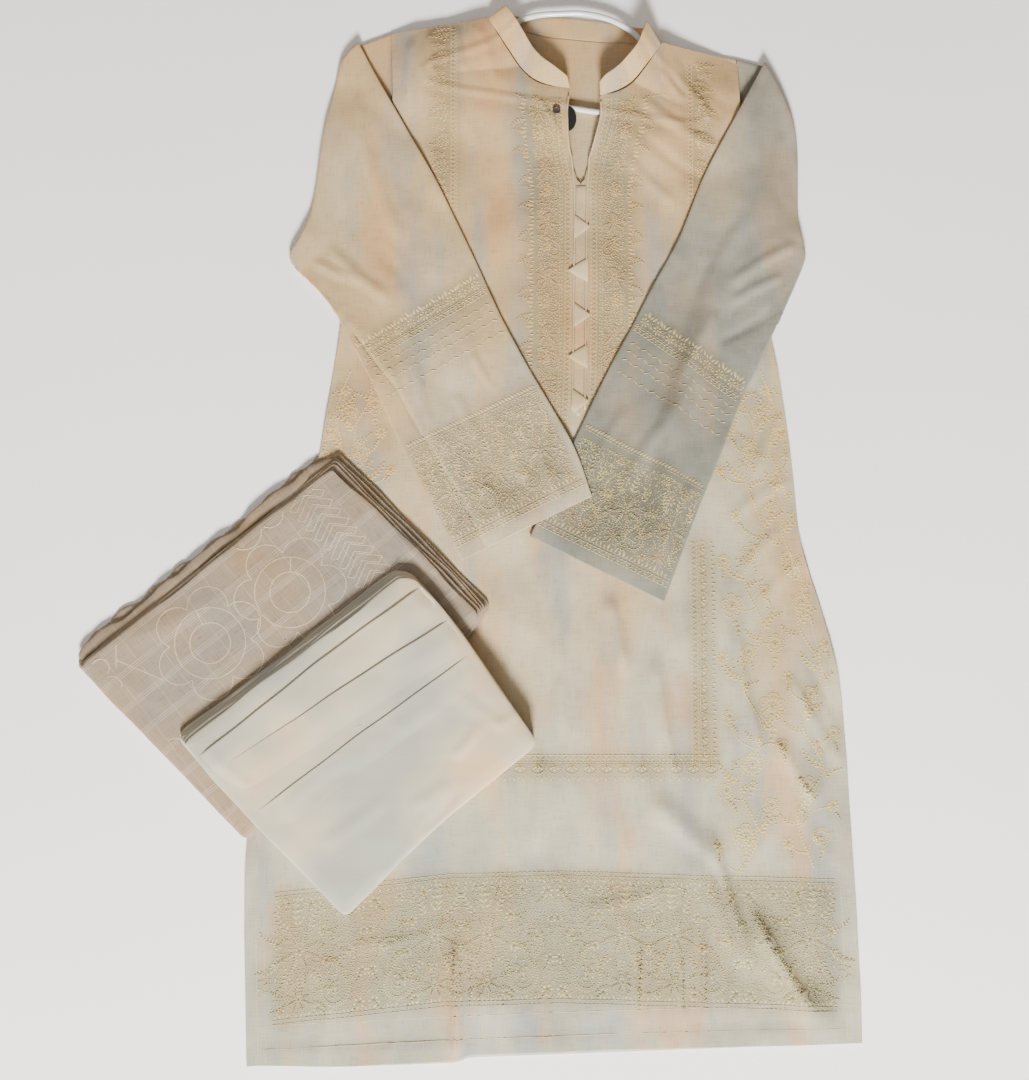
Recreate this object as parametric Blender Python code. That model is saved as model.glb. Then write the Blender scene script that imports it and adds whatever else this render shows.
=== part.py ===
"""Salwar kameez suit laid flat: kameez on a hanger, folded dupatta and folded salwar.

The suit lies on the floor plane z = 0, collar towards +Y. Plan positions are in millimetres from
the middle of the layout, and every cloth piece is a wall with its own named object.
"""
import bpy
import numpy as np

MM = 0.001

# Cloth walls and gaps, mm
WALL = 1.2
SEAM_GAP = 0.3
LAYER = WALL + SEAM_GAP
FRONT_UNDER = LAYER
FRONT_TOP = FRONT_UNDER + WALL

# Hanger, mm
HANGER_RADIUS = 3.0
HANGER_Z = WALL + SEAM_GAP + HANGER_RADIUS
HANGER_LIFT = 7.2
HANGER_SPREAD = (28.0, 64.0)

# Height of the folded piles over the floor and over what they lie on, mm
DUPATTA_HEIGHT = 14.0
SALWAR_HEIGHT = 15.0

# Plan outline of the whole layout, mm: the part's origin is the middle of this box
DUPATTA_LEFT = -432.8
KAMEEZ_RIGHT = 335.2
KAMEEZ_BOTTOM = -510.65
COLLAR_TOP = 549.8
ORIGIN = np.array([(DUPATTA_LEFT + KAMEEZ_RIGHT) / 2, (KAMEEZ_BOTTOM + COLLAR_TOP) / 2, 0.0])

# Sections across the kameez from hem to shoulder, mm:
# left side x, y; left edge of the middle x, y; right edge of the middle x, y; right side x, y
SECTIONS = np.array([
    (-257.6, -509.6, 24.0, -496.5, 24.0, -496.5, 335.2, -488.1),
    (-259.8, -447.7, 28.0, -435.0, 28.0, -435.0, 334.5, -430.0),
    (-261.8, -385.0, 31.0, -372.0, 31.0, -372.0, 332.5, -370.0),
    (-261.8, -317.0, 34.0, -300.0, 34.0, -300.0, 329.5, -305.0),
    (-258.2, -230.0, 38.0, -222.0, 38.0, -222.0, 326.5, -225.0),
    (-249.5, -149.3, 43.0, -145.0, 43.0, -145.0, 321.7, -149.3),
    (-234.9, -80.1, 47.0, -75.0, 47.0, -75.0, 306.5, -76.0),
    (-216.1, -10.2, 53.0, -10.0, 53.0, -10.0, 286.5, -8.0),
    (-202.9, 50.2, 58.0, 50.0, 58.0, 50.0, 280.5, 48.0),
    (-193.6, 100.9, 63.0, 105.0, 63.0, 105.0, 275.5, 100.9),
    (-184.3, 162.3, 66.0, 165.0, 66.0, 165.0, 267.0, 162.3),
    (-177.8, 203.5, 67.0, 215.0, 67.0, 215.0, 259.5, 203.5),
    (-170.2, 251.1, 67.5, 262.0, 67.5, 262.0, 254.0, 246.0),
    (-146.0, 307.5, 67.8, 312.0, 67.8, 312.0, 246.5, 292.0),
    (-133.0, 355.0, 67.7, 366.0, 67.7, 366.0, 239.0, 345.0),
    (-128.5, 395.0, 57.6, 400.8, 78.0, 400.8, 235.0, 385.0),
    (-126.0, 430.0, 54.7, 437.8, 87.0, 435.0, 233.0, 418.0),
    (-125.5, 455.0, 55.8, 464.5, 88.0, 456.0, 232.0, 440.0),
    (-125.6, 475.0, 38.5, 467.3, 99.0, 458.5, 231.3, 456.0),
    (-126.0, 490.0, 19.0, 475.0, 112.0, 464.0, 230.7, 469.0),
    (-126.5, 504.0, 1.6, 494.0, 125.0, 474.5, 230.2, 480.0),
    (-127.0, 516.0, -14.9, 518.6, 138.0, 491.0, 229.7, 489.5),
    (-127.5, 525.8, -28.4, 541.2, 151.8, 513.2, 229.3, 497.9),
])
SLIT_END_SECTION = 14
ARMHOLE_SECTION = 12
NECK_SECTION = 17

# The left part of the hem lies lower than the right part, parted by an upright crease, mm
HEM_STEP_X = -50.0
HEM_STEP = 4.5
HEM_STEP_REACH = 130.0

# Large soft folds of the front, mm: start x, y; end x, y; sideways bow; half width; height
FOLDS = (
    (-54.0, -508.0, -56.0, -385.0, 0.0, 18.0, 4.0),
    (180.0, -296.0, 240.0, -425.0, 12.0, 20.0, 7.0),
    (232.0, -368.0, 312.0, -482.0, 10.0, 18.0, 7.0),
    (135.0, -255.0, 206.0, -322.0, 0.0, 18.0, 4.0),
    (92.0, -55.0, 110.0, -135.0, 0.0, 16.0, 3.0),
    (138.0, -110.0, 162.0, -245.0, 6.0, 18.0, 4.0),
    (218.0, -82.0, 246.0, -212.0, 8.0, 18.0, 4.5),
    (258.0, -196.0, 300.0, -262.0, 0.0, 16.0, 4.0),
    (30.0, -215.0, 20.0, -310.0, 0.0, 16.0, 2.5),
    (120.0, 440.0, 205.0, 405.0, 4.0, 18.0, 3.0),
)

# Sleeves: rows from cuff to shoulder fold. Inner edge x, y; outer edge x, y, mm
LEFT_SLEEVE = np.array([
    (76.4, 42.6, -52.0, -21.0),
    (56.7, 96.2, -72.5, 17.0),
    (13.6, 172.7, -100.0, 70.0),
    (-14.7, 226.2, -121.0, 112.0),
    (-42.2, 287.5, -141.5, 158.0),
    (-78.1, 362.9, -160.0, 192.0),
    (-106.1, 413.6, -168.0, 208.0),
    (-135.2, 464.7, -176.0, 222.0),
    (-161.0, 513.0, -182.0, 233.0),
])
RIGHT_SLEEVE = np.array([
    (16.4, 2.4, 147.3, -61.5),
    (37.5, 48.0, 168.5, -5.0),
    (58.7, 94.1, 186.0, 40.0),
    (93.2, 166.5, 204.0, 82.0),
    (119.8, 215.9, 218.0, 118.0),
    (141.5, 258.4, 232.0, 152.0),
    (168.4, 308.3, 243.0, 172.0),
    (194.7, 373.4, 251.0, 190.0),
    (229.5, 439.1, 259.0, 205.0),
    (257.0, 491.0, 266.0, 220.0),
])
# Outline of each sleeve's fold beside the body, from shoulder to underarm, mm
LEFT_FOLD = np.array([
    (-161.0, 513.0), (-176.0, 494.7), (-182.6, 469.0), (-194.2, 413.6), (-204.5, 340.8),
    (-216.0, 310.0), (-227.0, 288.5), (-214.7, 270.8), (-194.0, 254.2), (-182.0, 233.0),
])
RIGHT_FOLD = np.array([
    (257.0, 491.0), (276.0, 450.8), (287.0, 413.6), (288.0, 370.0), (287.8, 327.2),
    (291.0, 305.0), (293.5, 286.4), (284.5, 262.0), (275.0, 241.0), (266.0, 220.0),
])
SLEEVE_BULGE_REACH = 0.35
CUFF_LIFT = 3.4
CUFF_LIFT_RUN = (-44.0, -16.0)

# Stand collar: base x, y; top x, y and height, from slit edge to slit edge, mm
COLLAR = np.array([
    (56.5, 466.5, 54.0, 476.0, 6.0),
    (38.5, 470.0, 39.3, 486.0, 12.0),
    (19.0, 479.0, 26.0, 496.0, 14.0),
    (3.0, 497.0, 14.0, 512.0, 15.0),
    (-13.0, 521.0, 3.0, 530.0, 15.0),
    (-26.0, 541.0, -8.0, 547.5, 14.0),
    (-15.0, 539.5, -9.0, 548.5, 8.0),
    (0.0, 533.5, 3.0, 545.0, 1.5),
    (25.0, 525.5, 26.0, 545.0, 1.0),
    (62.0, 521.0, 63.0, 543.0, 1.0),
    (98.0, 518.0, 101.0, 538.0, 1.0),
    (124.0, 516.5, 126.0, 533.0, 1.5),
    (141.0, 514.5, 136.0, 531.0, 8.0),
    (149.5, 513.0, 134.0, 530.0, 14.0),
    (136.0, 493.0, 126.0, 506.0, 15.0),
    (123.0, 477.0, 113.0, 491.0, 15.0),
    (110.0, 467.0, 102.0, 481.0, 13.0),
    (98.0, 461.5, 93.0, 475.0, 11.0),
    (87.5, 458.5, 87.0, 469.0, 6.0),
])
COLLAR_BACK_START = (5.0, 6.5)
COLLAR_BACK_END = (11.5, 13.0)
COLLAR_WALL = 1.5

# Placket under the slit, mm
PLACKET_TOP = (68.0, 364.0)
PLACKET_END = (64.5, 131.0)
PLACKET_HALF_WIDTH = 5.0
PLACKET_WALL = 1.0
PIPING_RADIUS = 0.9
# Folded triangles beside the placket: apex x, y; base x; base's lower and upper y, mm
TABS = (
    (76.5, 321.0, 61.0, 309.0, 333.0),
    (55.0, 275.0, 74.5, 263.0, 287.0),
    (76.5, 229.0, 60.5, 217.0, 241.0),
    (54.5, 186.0, 73.5, 174.0, 198.0),
    (74.5, 140.0, 58.5, 128.0, 152.0),
)
TAB_WALL = 1.2

BUTTON_PLACE = (43.0, 440.0)
BUTTON_RADIUS = 4.0
BUTTON_WALL = 2.5

LABEL_PLACE = (54.0, 433.5)
LABEL_HALF_HEIGHT = 13.5
LABEL_WIDTH = 9.5
LABEL_WALL = 0.8

# Hanger centre line x, y, z, mm: neck arc over the collar's back, arms and bar under the front
HANGER_LINE = np.array([
    (68.0, 546.0, 8.2), (45.0, 545.5, 8.2), (25.0, 544.0, 8.2), (8.0, 539.0, 8.2),
    (-4.0, 530.5, 6.8), (-13.0, 521.0, 4.7), (-28.0, 511.0, 4.5), (-55.0, 502.0, 4.5),
    (-82.0, 493.0, 4.5), (-93.0, 485.0, 4.5), (-90.0, 473.0, 4.5), (-78.0, 467.0, 4.5),
    (-25.0, 458.9, 4.5), (67.0, 444.5, 4.5), (159.4, 430.2, 4.5), (186.0, 427.0, 4.5),
    (197.0, 434.0, 4.5), (195.0, 447.0, 4.5), (184.0, 459.0, 4.5), (166.0, 477.0, 4.5),
    (152.0, 491.0, 4.5), (143.0, 502.5, 4.7), (135.5, 511.5, 6.6), (127.0, 520.5, 8.2),
    (112.0, 532.5, 8.2), (92.0, 541.5, 8.2),
])

# Folded piles: outline corners x, y and corner rounding, mm
DUPATTA_CORNERS = (
    (-435.0, -121.0, 6.0), (-262.0, -296.0, 8.0), (-38.0, -92.0, 10.0), (-23.0, -65.0, 8.0),
    (-58.0, -27.5, 10.0), (-176.0, 89.0, 6.0),
)
SALWAR_CORNERS = (
    (-330.0, -192.5, 6.0), (-256.0, -276.0, 60.0), (-162.0, -368.0, 10.0), (-80.0, -286.0, 40.0),
    (24.5, -201.5, 12.0), (-62.0, -76.0, 40.0), (-104.0, -31.5, 6.0), (-119.0, -30.5, 5.0),
)
# Ledges up the side of a pile: inset, share of the height
PILE_LEDGES = (
    (3.0, 0.0), (0.6, 0.10), (0.0, 0.22), (2.6, 0.30), (1.2, 0.42), (1.0, 0.52),
    (4.4, 0.60), (3.2, 0.72), (3.6, 0.82), (7.0, 0.90), (15.0, 0.96), (34.0, 0.99), (70.0, 1.0),
)
# Plain sides of the room that the dupatta takes out of the salwar above it
ROOM_LEDGES = ((0.0, -0.4), (0.0, 0.62), (3.0, 0.84), (15.0, 0.98), (34.0, 1.01), (70.0, 1.02))
ROOM_GAP = 0.8

# Samples along each direction
ROWS_PER_SECTION = 2
HALF_COLUMNS = 13
SLEEVE_ROWS = 17
FOLD_STEPS = 4
COLLAR_ROWS = 2


def spline(rows, stations):
    """Smooth curve through the rows, read at row numbers that may lie between rows."""
    rows = np.asarray(rows, float)
    slopes = np.gradient(rows, axis=0)
    low = np.clip(np.floor(stations).astype(int), 0, len(rows) - 2)
    t = (np.asarray(stations) - low)[:, None]
    return ((2 * t**3 - 3 * t**2 + 1) * rows[low] + (t**3 - 2 * t**2 + t) * slopes[low]
            + (3 * t**2 - 2 * t**3) * rows[low + 1] + (t**3 - t**2) * slopes[low + 1])


def smoothstep(x, low, high):
    """0 below low, 1 above high, and a smooth rise between."""
    t = np.clip((np.asarray(x, float) - low) / (high - low), 0.0, 1.0)
    return t * t * (3 - 2 * t)


def segment_distance(x, y, start, end):
    """Distance to a straight piece, and how far along it the nearest point lies, 0 to 1."""
    dx, dy = end[0] - start[0], end[1] - start[1]
    along = ((x - start[0]) * dx + (y - start[1]) * dy) / (dx * dx + dy * dy)
    near = np.clip(along, 0.0, 1.0)
    return np.hypot(x - start[0] - near * dx, y - start[1] - near * dy), along


def polyline_distance(x, y, points):
    """Distance to a closed line of points."""
    closed = np.vstack([points, points[:1]])
    pairs = zip(closed[:-1], closed[1:])
    return np.min([segment_distance(x, y, a, b)[0] for a, b in pairs], axis=0)


def hanger_height(x, y):
    """The front stands over the hanger and comes down to the back beyond it."""
    near = polyline_distance(x, y, HANGER_LINE[:, :2])
    return HANGER_LIFT * (1 - smoothstep(near, *HANGER_SPREAD))


def fold_height(x, y):
    """Soft ridges: a cosine bell across each fold that dies away at its ends."""
    total = np.zeros(np.shape(x))
    for x0, y0, x1, y1, bow, half_width, height in FOLDS:
        length = np.hypot(x1 - x0, y1 - y0)
        along = ((x - x0) * (x1 - x0) + (y - y0) * (y1 - y0)) / length**2
        side = ((x - x0) * (y1 - y0) - (y - y0) * (x1 - x0)) / length
        side = side - bow * 4 * along * (1 - along)
        bell = np.cos(np.clip(side / half_width, -1, 1) * np.pi / 2)**2
        ends = smoothstep(along, -0.05, 0.2) * (1 - smoothstep(along, 0.75, 1.05))
        total = np.maximum(total, height * bell * ends)
    return total


def front_height(x, y):
    """Lift of the front panel over its flat place."""
    return np.maximum(hanger_height(x, y), fold_height(x, y))


def height_nearby(x, y, reach=20.0):
    """Highest lift of the front at a place and a short way round it."""
    shifts = [(0, 0), (1, 0), (-1, 0), (0, 1), (0, -1)]
    return np.max([front_height(x + reach * a, y + reach * b) for a, b in shifts], axis=0)


def hem_shift(x, y):
    """Drop of the hem left of the upright crease, fading out above the hem."""
    near_hem = 1 - smoothstep(y, KAMEEZ_BOTTOM + 20, KAMEEZ_BOTTOM + HEM_STEP_REACH)
    inside = smoothstep(x, -250.0, -160.0)
    left = inside * (1 - smoothstep(x, HEM_STEP_X - 8, HEM_STEP_X + 8))
    return -HEM_STEP * left * near_hem


def add_mesh(name, points, faces, colour, roughness=0.85):
    """One closed body from points in mm and faces, shaded smooth, with its own material."""
    mesh = bpy.data.meshes.new(name)
    placed = (np.asarray(points, float) - ORIGIN) * MM
    mesh.from_pydata(placed.tolist(), [], [list(map(int, face)) for face in faces])
    mesh.validate()
    mesh.shade_smooth()
    material = bpy.data.materials.new(name)
    material.use_nodes = True
    shader = material.node_tree.nodes["Principled BSDF"]
    shader.inputs["Base Color"].default_value = (*colour, 1.0)
    shader.inputs["Roughness"].default_value = roughness
    mesh.materials.append(material)
    part = bpy.data.objects.new(name, mesh)
    bpy.context.scene.collection.objects.link(part)
    return part


def grid_faces(numbers):
    """Quads between neighbours in a table of point numbers."""
    a, b = numbers[:-1, :-1], numbers[:-1, 1:]
    c, d = numbers[1:, 1:], numbers[1:, :-1]
    return np.stack([a, b, c, d], axis=-1).reshape(-1, 4)


def wall_body(outer, inner, quads):
    """Closed wall: the outer sheet, the inner sheet turned round, and rims on open edges."""
    count = len(outer)
    edges = np.concatenate([quads[:, [i, (i + 1) % 4]] for i in range(4)])
    seen = {}
    for start, end in edges:
        seen.setdefault((min(start, end), max(start, end)), []).append((start, end))
    rims = [(b, a, a + count, b + count) for pairs in seen.values() if len(pairs) == 1
            for a, b in pairs]
    faces = list(quads) + list(quads[:, ::-1] + count) + rims
    return np.vstack([outer, inner]), faces


def body_stations():
    """Row numbers down the kameez: a few between every two sections."""
    steps = (len(SECTIONS) - 1) * ROWS_PER_SECTION
    return np.linspace(0, len(SECTIONS) - 1, steps + 1)


def panel_grid(split_station):
    """Plan of a body panel as points and quads; its halves join below the split."""
    stations = body_stations()
    rows = spline(SECTIONS, stations)
    share = np.linspace(0, 1, HALF_COLUMNS)[:, None]
    left = rows[:, None, 0:2] * (1 - share) + rows[:, None, 2:4] * share
    right = rows[:, None, 4:6] * (1 - share) + rows[:, None, 6:8] * share
    points = np.concatenate([left, right], axis=1).reshape(-1, 2)
    numbers = np.arange(len(points)).reshape(len(rows), -1)
    joined = stations <= split_station
    numbers[joined, HALF_COLUMNS] = numbers[joined, HALF_COLUMNS - 1]
    quads = np.vstack([grid_faces(numbers[:, :HALF_COLUMNS]), grid_faces(numbers[:, HALF_COLUMNS:])])
    used, new = np.unique(quads, return_inverse=True)
    plan = points[used]
    plan[:, 1] += hem_shift(plan[:, 0], plan[:, 1])
    return plan, new.reshape(-1, 4)


def with_height(plan, height):
    """Plan points with a height each."""
    return np.column_stack([plan, np.broadcast_to(height, len(plan))])


def make_front():
    """Front panel over the back, with the neck, the slit and the large folds."""
    plan, quads = panel_grid(SLIT_END_SECTION)
    lift = front_height(plan[:, 0], plan[:, 1])
    outer = with_height(plan, FRONT_TOP + lift)
    inner = with_height(plan, FRONT_UNDER + lift)
    add_mesh("front", *wall_body(outer, inner, quads), (0.62, 0.55, 0.44))


def make_back():
    """Back panel, flat on the floor, whole up to its high neckline."""
    rows = spline(SECTIONS, body_stations())
    neck = COLLAR[5:14, :2]
    shoulders = body_stations() <= len(SECTIONS) - 1
    left = rows[shoulders][:, 0:2]
    right = rows[shoulders][:, 6:8]
    top = spline(neck, np.linspace(0, len(neck) - 1, 2 * HALF_COLUMNS - 3))
    top = np.vstack([left[-1:], top, right[-1:]])
    bottom_share = np.linspace(0, 1, len(top))[:, None]
    bottom = left[:1] * (1 - bottom_share) + right[:1] * bottom_share
    share = np.linspace(0, 1, len(left))[:, None, None]
    across = np.linspace(0, 1, len(top))[None, :, None]
    sides = left[:, None] * (1 - across) + right[:, None] * across
    ends = (1 - share) * bottom[None] + share * top[None]
    corners = ((1 - share) * ((1 - across) * left[0] + across * right[0])
               + share * ((1 - across) * left[-1] + across * right[-1]))
    plan = (sides + ends - corners).reshape(-1, 2)
    plan[:, 1] += hem_shift(plan[:, 0], plan[:, 1])
    quads = grid_faces(np.arange(len(plan)).reshape(len(left), -1))
    add_mesh("back", *wall_body(with_height(plan, WALL), with_height(plan, 0.0), quads),
             (0.60, 0.54, 0.43))


def sleeve_middle(rows, outline, armhole):
    """Middle surface of a sleeve's flattened tube, from the cuff over the fold to the armhole.

    Each row is a straight line from inner to outer edge; near the fold it takes on the outline's
    curve. The last rows turn half a circle down and run back under to the armhole.
    """
    across = np.linspace(0, 1, len(armhole))
    stations = np.linspace(0, len(rows) - 1, SLEEVE_ROWS)
    edges = spline(rows, stations)
    straight = edges[:, None, 0:2] * (1 - across[:, None]) + edges[:, None, 2:4] * across[:, None]
    fold = spline(outline, across * (len(outline) - 1))
    bulge = fold - straight[-1]
    share = np.linspace(0, 1, SLEEVE_ROWS)
    bulge_share = smoothstep(share, 1 - SLEEVE_BULGE_REACH, 1.0)[:, None, None]
    over = straight + bulge_share * bulge
    return over, fold


def make_sleeve(name, rows, outline, side, lift_plan=None):
    """Sleeve: one flattened tube wall, open at cuff and armhole, folded over the front."""
    stations = body_stations()
    armhole_rows = spline(SECTIONS, stations[stations >= ARMHOLE_SECTION])
    armhole = armhole_rows[::-1, 0:2] if side < 0 else armhole_rows[::-1, 6:8]
    armhole = armhole + np.array([side * 0.8, 0.0])
    over, fold = sleeve_middle(rows, outline, armhole)
    outward = over[-1] - over[-2]
    outward = outward / np.linalg.norm(outward, axis=1)[:, None]
    high = FRONT_TOP + SEAM_GAP + WALL + SEAM_GAP / 2
    low = WALL + SEAM_GAP / 2
    radius = (high - low) / 2
    ease = height_nearby(over[..., 0], over[..., 1])
    if lift_plan is not None:
        ease = ease + lift_plan(over[..., 0], over[..., 1])
    middle = [np.dstack([over, high + ease])]
    turn = np.linspace(0, np.pi, FOLD_STEPS + 2)[1:]
    for angle in turn:
        plan = fold + outward * radius * np.sin(angle)
        height = low + radius * (1 + np.cos(angle))
        middle.append(np.dstack([plan[None], np.full((1, len(plan)), height)]))
    for share in (0.5, 1.0):
        plan = fold * (1 - share) + armhole * share
        middle.append(np.dstack([plan[None], np.full((1, len(plan)), low)]))
    middle = np.vstack(middle)
    along = np.gradient(middle, axis=0)
    across = np.gradient(middle, axis=1)
    across /= np.linalg.norm(across, axis=2)[..., None]
    normal = np.cross(along, across) * -side
    normal /= np.linalg.norm(normal, axis=2)[..., None]
    sheets = []
    for reach in (SEAM_GAP / 2 + WALL, SEAM_GAP / 2):
        first = middle[:, :1] - across[:, :1] * reach
        last = middle[:, -1:] + across[:, -1:] * reach
        ring = np.concatenate([middle + normal * reach, last,
                               (middle - normal * reach)[:, ::-1], first], axis=1)
        sheets.append(ring)
    outer, inner = sheets
    numbers = np.arange(outer.shape[0] * outer.shape[1]).reshape(outer.shape[:2])
    numbers = np.column_stack([numbers, numbers[:, :1]])
    quads = grid_faces(numbers)
    if side < 0:
        quads = quads[:, ::-1]
    body = wall_body(outer.reshape(-1, 3), inner.reshape(-1, 3), quads)
    add_mesh(name, *body, (0.62, 0.56, 0.46))


def cuff_over_cuff(x, y):
    """Rise of the left cuff where it crosses the right sleeve's inner edge."""
    start, end = RIGHT_SLEEVE[2, :2], RIGHT_SLEEVE[0, :2]
    dx, dy = end - start
    length = np.hypot(dx, dy)
    beyond = -((x - start[0]) * dy - (y - start[1]) * dx) / length
    return CUFF_LIFT * smoothstep(beyond, *CUFF_LIFT_RUN)


def make_collar():
    """Stand collar: a wall from the neck seam to its free top edge, open at the front."""
    stations = np.linspace(0, len(COLLAR) - 1, 3 * len(COLLAR) - 2)
    rows = spline(COLLAR, stations)
    back_part = smoothstep(stations, *COLLAR_BACK_START) * (1 - smoothstep(stations, *COLLAR_BACK_END))
    seat = FRONT_TOP + front_height(rows[:, 0], rows[:, 1]) * (1 - back_part)
    seat = seat * (1 - back_part) + WALL * back_part
    base_z = seat + SEAM_GAP + COLLAR_WALL / 2 + 0.4
    base = np.column_stack([rows[:, :2], base_z])
    top = np.column_stack([rows[:, 2:4], base_z + rows[:, 4]])
    share = np.linspace(0, 1, COLLAR_ROWS + 1)[None, :, None]
    middle = base[:, None] * (1 - share) + top[:, None] * share
    normal = np.cross(np.gradient(middle, axis=1), np.gradient(middle, axis=0))
    normal /= np.linalg.norm(normal, axis=2)[..., None]
    half = COLLAR_WALL / 2
    quads = grid_faces(np.arange(middle.shape[0] * middle.shape[1]).reshape(middle.shape[:2]))
    body = wall_body((middle + normal * half).reshape(-1, 3), (middle - normal * half).reshape(-1, 3),
                     quads)
    add_mesh("collar", *body, (0.62, 0.55, 0.44))


def tube_body(line, radius, sides, closed):
    """Round tube along a line of points, with flat ends or joined into a ring."""
    line = np.asarray(line, float)
    if closed:
        along = np.roll(line, -1, axis=0) - np.roll(line, 1, axis=0)
    else:
        along = np.gradient(line, axis=0)
    along /= np.linalg.norm(along, axis=1)[:, None]
    side = np.cross(along, (0.0, 0.0, 1.0))
    side /= np.linalg.norm(side, axis=1)[:, None]
    up = np.cross(side, along)
    angle = np.arange(sides) * 2 * np.pi / sides
    ring = (line[:, None] + radius * (np.cos(angle)[None, :, None] * side[:, None]
                                      + np.sin(angle)[None, :, None] * up[:, None]))
    numbers = np.arange(len(line) * sides).reshape(len(line), sides)
    numbers = np.column_stack([numbers, numbers[:, :1]])
    if closed:
        numbers = np.vstack([numbers, numbers[:1]])
    faces = [tuple(quad[::-1]) for quad in grid_faces(numbers)]
    if not closed:
        faces.append(tuple(numbers[0, :-1]))
        faces.append(tuple(numbers[-1, :-1][::-1]))
    return ring.reshape(-1, 3), faces


def make_hanger():
    """White hanger inside the kameez: neck arc, arms and bar in one closed tube."""
    closed = np.vstack([HANGER_LINE[-1:], HANGER_LINE, HANGER_LINE[:2]])
    stations = 1 + np.linspace(0, len(HANGER_LINE), 2 * len(HANGER_LINE) + 1)[:-1]
    points, faces = tube_body(spline(closed, stations), HANGER_RADIUS, 8, True)
    add_mesh("hanger", points, faces, (0.88, 0.88, 0.86), 0.2)


def slit_edge(left):
    """Plan of the piping along one edge of the slit and down that side of the placket."""
    stations = np.linspace(NECK_SECTION - 0.4, SLIT_END_SECTION + 0.75, 9)
    rows = spline(SECTIONS, stations)
    edge = rows[:, 2:4] if left else rows[:, 4:6]
    side = -1 if left else 1
    edge = edge + np.array([side * 1.2, 0.0])
    reach = PLACKET_HALF_WIDTH + SEAM_GAP + PIPING_RADIUS
    share = np.linspace(0.03, 1.0, 9)[:, None]
    run = np.array(PLACKET_TOP) * (1 - share) + np.array(PLACKET_END) * share
    return np.vstack([edge, run + np.array([side * reach, 0.0])])


def make_piping(name, left):
    """Thin round piping that lies on the front beside slit and placket."""
    plan = slit_edge(left)
    lift = front_height(plan[:, 0], plan[:, 1])
    line = with_height(plan, FRONT_TOP + 2 * SEAM_GAP + PIPING_RADIUS + lift)
    points, faces = tube_body(line, PIPING_RADIUS, 6, False)
    add_mesh(name, points, faces, (0.72, 0.66, 0.55))


def make_placket():
    """Strip under the slit, pointed at its lower end."""
    share = np.linspace(0.02, 1.0, 12)[:, None]
    centre = np.array(PLACKET_TOP) * (1 - share) + np.array(PLACKET_END) * share
    half = np.full(len(centre), PLACKET_HALF_WIDTH)
    left = centre - np.column_stack([half, 0 * half])
    right = centre + np.column_stack([half, 0 * half])
    tip = np.array([PLACKET_END]) + np.array([(0.0, -6.0)])
    left = np.vstack([left, tip - (0.8, 0.0)])
    right = np.vstack([right, tip + (0.8, 0.0)])
    plan = np.stack([right, left], axis=1).reshape(-1, 2)
    base = FRONT_TOP + SEAM_GAP + front_height(plan[:, 0], plan[:, 1])
    quads = grid_faces(np.arange(len(plan)).reshape(-1, 2))
    body = wall_body(with_height(plan, base + PLACKET_WALL), with_height(plan, base), quads)
    add_mesh("placket", *body, (0.66, 0.60, 0.49))


def make_tab(number, apex_x, apex_y, base_x, low_y, high_y):
    """Cloth folded to a triangle, lying across the placket and its piping."""
    base = FRONT_TOP + 4 * SEAM_GAP + 2 * PIPING_RADIUS
    corners = [(base_x, low_y), (apex_x, apex_y), (base_x, high_y)]
    if apex_x < base_x:
        corners = corners[::-1]
    points = [(*corner, base + TAB_WALL) for corner in corners]
    points += [(*corner, base) for corner in corners]
    faces = [(0, 1, 2), (5, 4, 3)] + [(i, i + 3, (i + 1) % 3 + 3, (i + 1) % 3) for i in range(3)]
    add_mesh(f"tab_{number}", points, faces, (0.70, 0.64, 0.53))


def make_button():
    """Small round button with a raised rim."""
    height = FRONT_TOP + SEAM_GAP + float(front_height(np.array([BUTTON_PLACE[0]]),
                                                       np.array([BUTTON_PLACE[1]]))[0]) + 0.4
    radii = (BUTTON_RADIUS * 0.9, BUTTON_RADIUS, BUTTON_RADIUS, BUTTON_RADIUS * 0.8, BUTTON_RADIUS * 0.6)
    heights = (0.0, 0.3, 0.8, 1.0, 0.7)
    angle = np.arange(16) * 2 * np.pi / 16
    rings = [np.column_stack([BUTTON_PLACE[0] + r * np.cos(angle), BUTTON_PLACE[1] + r * np.sin(angle),
                              np.full(16, height + h * BUTTON_WALL)]) for r, h in zip(radii, heights)]
    numbers = np.arange(len(rings) * 16).reshape(len(rings), 16)
    numbers = np.column_stack([numbers, numbers[:, :1]])
    faces = [tuple(quad) for quad in grid_faces(numbers)]
    faces += [tuple(numbers[0, :-1][::-1]), tuple(numbers[-1, :-1])]
    add_mesh("button", np.vstack(rings), faces, (0.05, 0.045, 0.04), 0.4)


def make_label():
    """Bare half oval behind the slit's left edge, lying on the hanger's bar."""
    angle = np.linspace(-np.pi / 2, np.pi / 2, 11)
    plan = np.column_stack([LABEL_PLACE[0] + LABEL_WIDTH * np.cos(angle),
                            LABEL_PLACE[1] + LABEL_HALF_HEIGHT * np.sin(angle)])
    base = HANGER_Z + HANGER_RADIUS + SEAM_GAP / 3
    count = len(plan)
    points = np.vstack([with_height(plan, base + LABEL_WALL / 2), with_height(plan, base)])
    faces = [tuple(range(count)), tuple(range(2 * count - 1, count - 1, -1))]
    faces += [(i, i + count, (i + 1) % count + count, (i + 1) % count) for i in range(count)]
    add_mesh("label", points, faces, (0.02, 0.02, 0.02))


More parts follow.
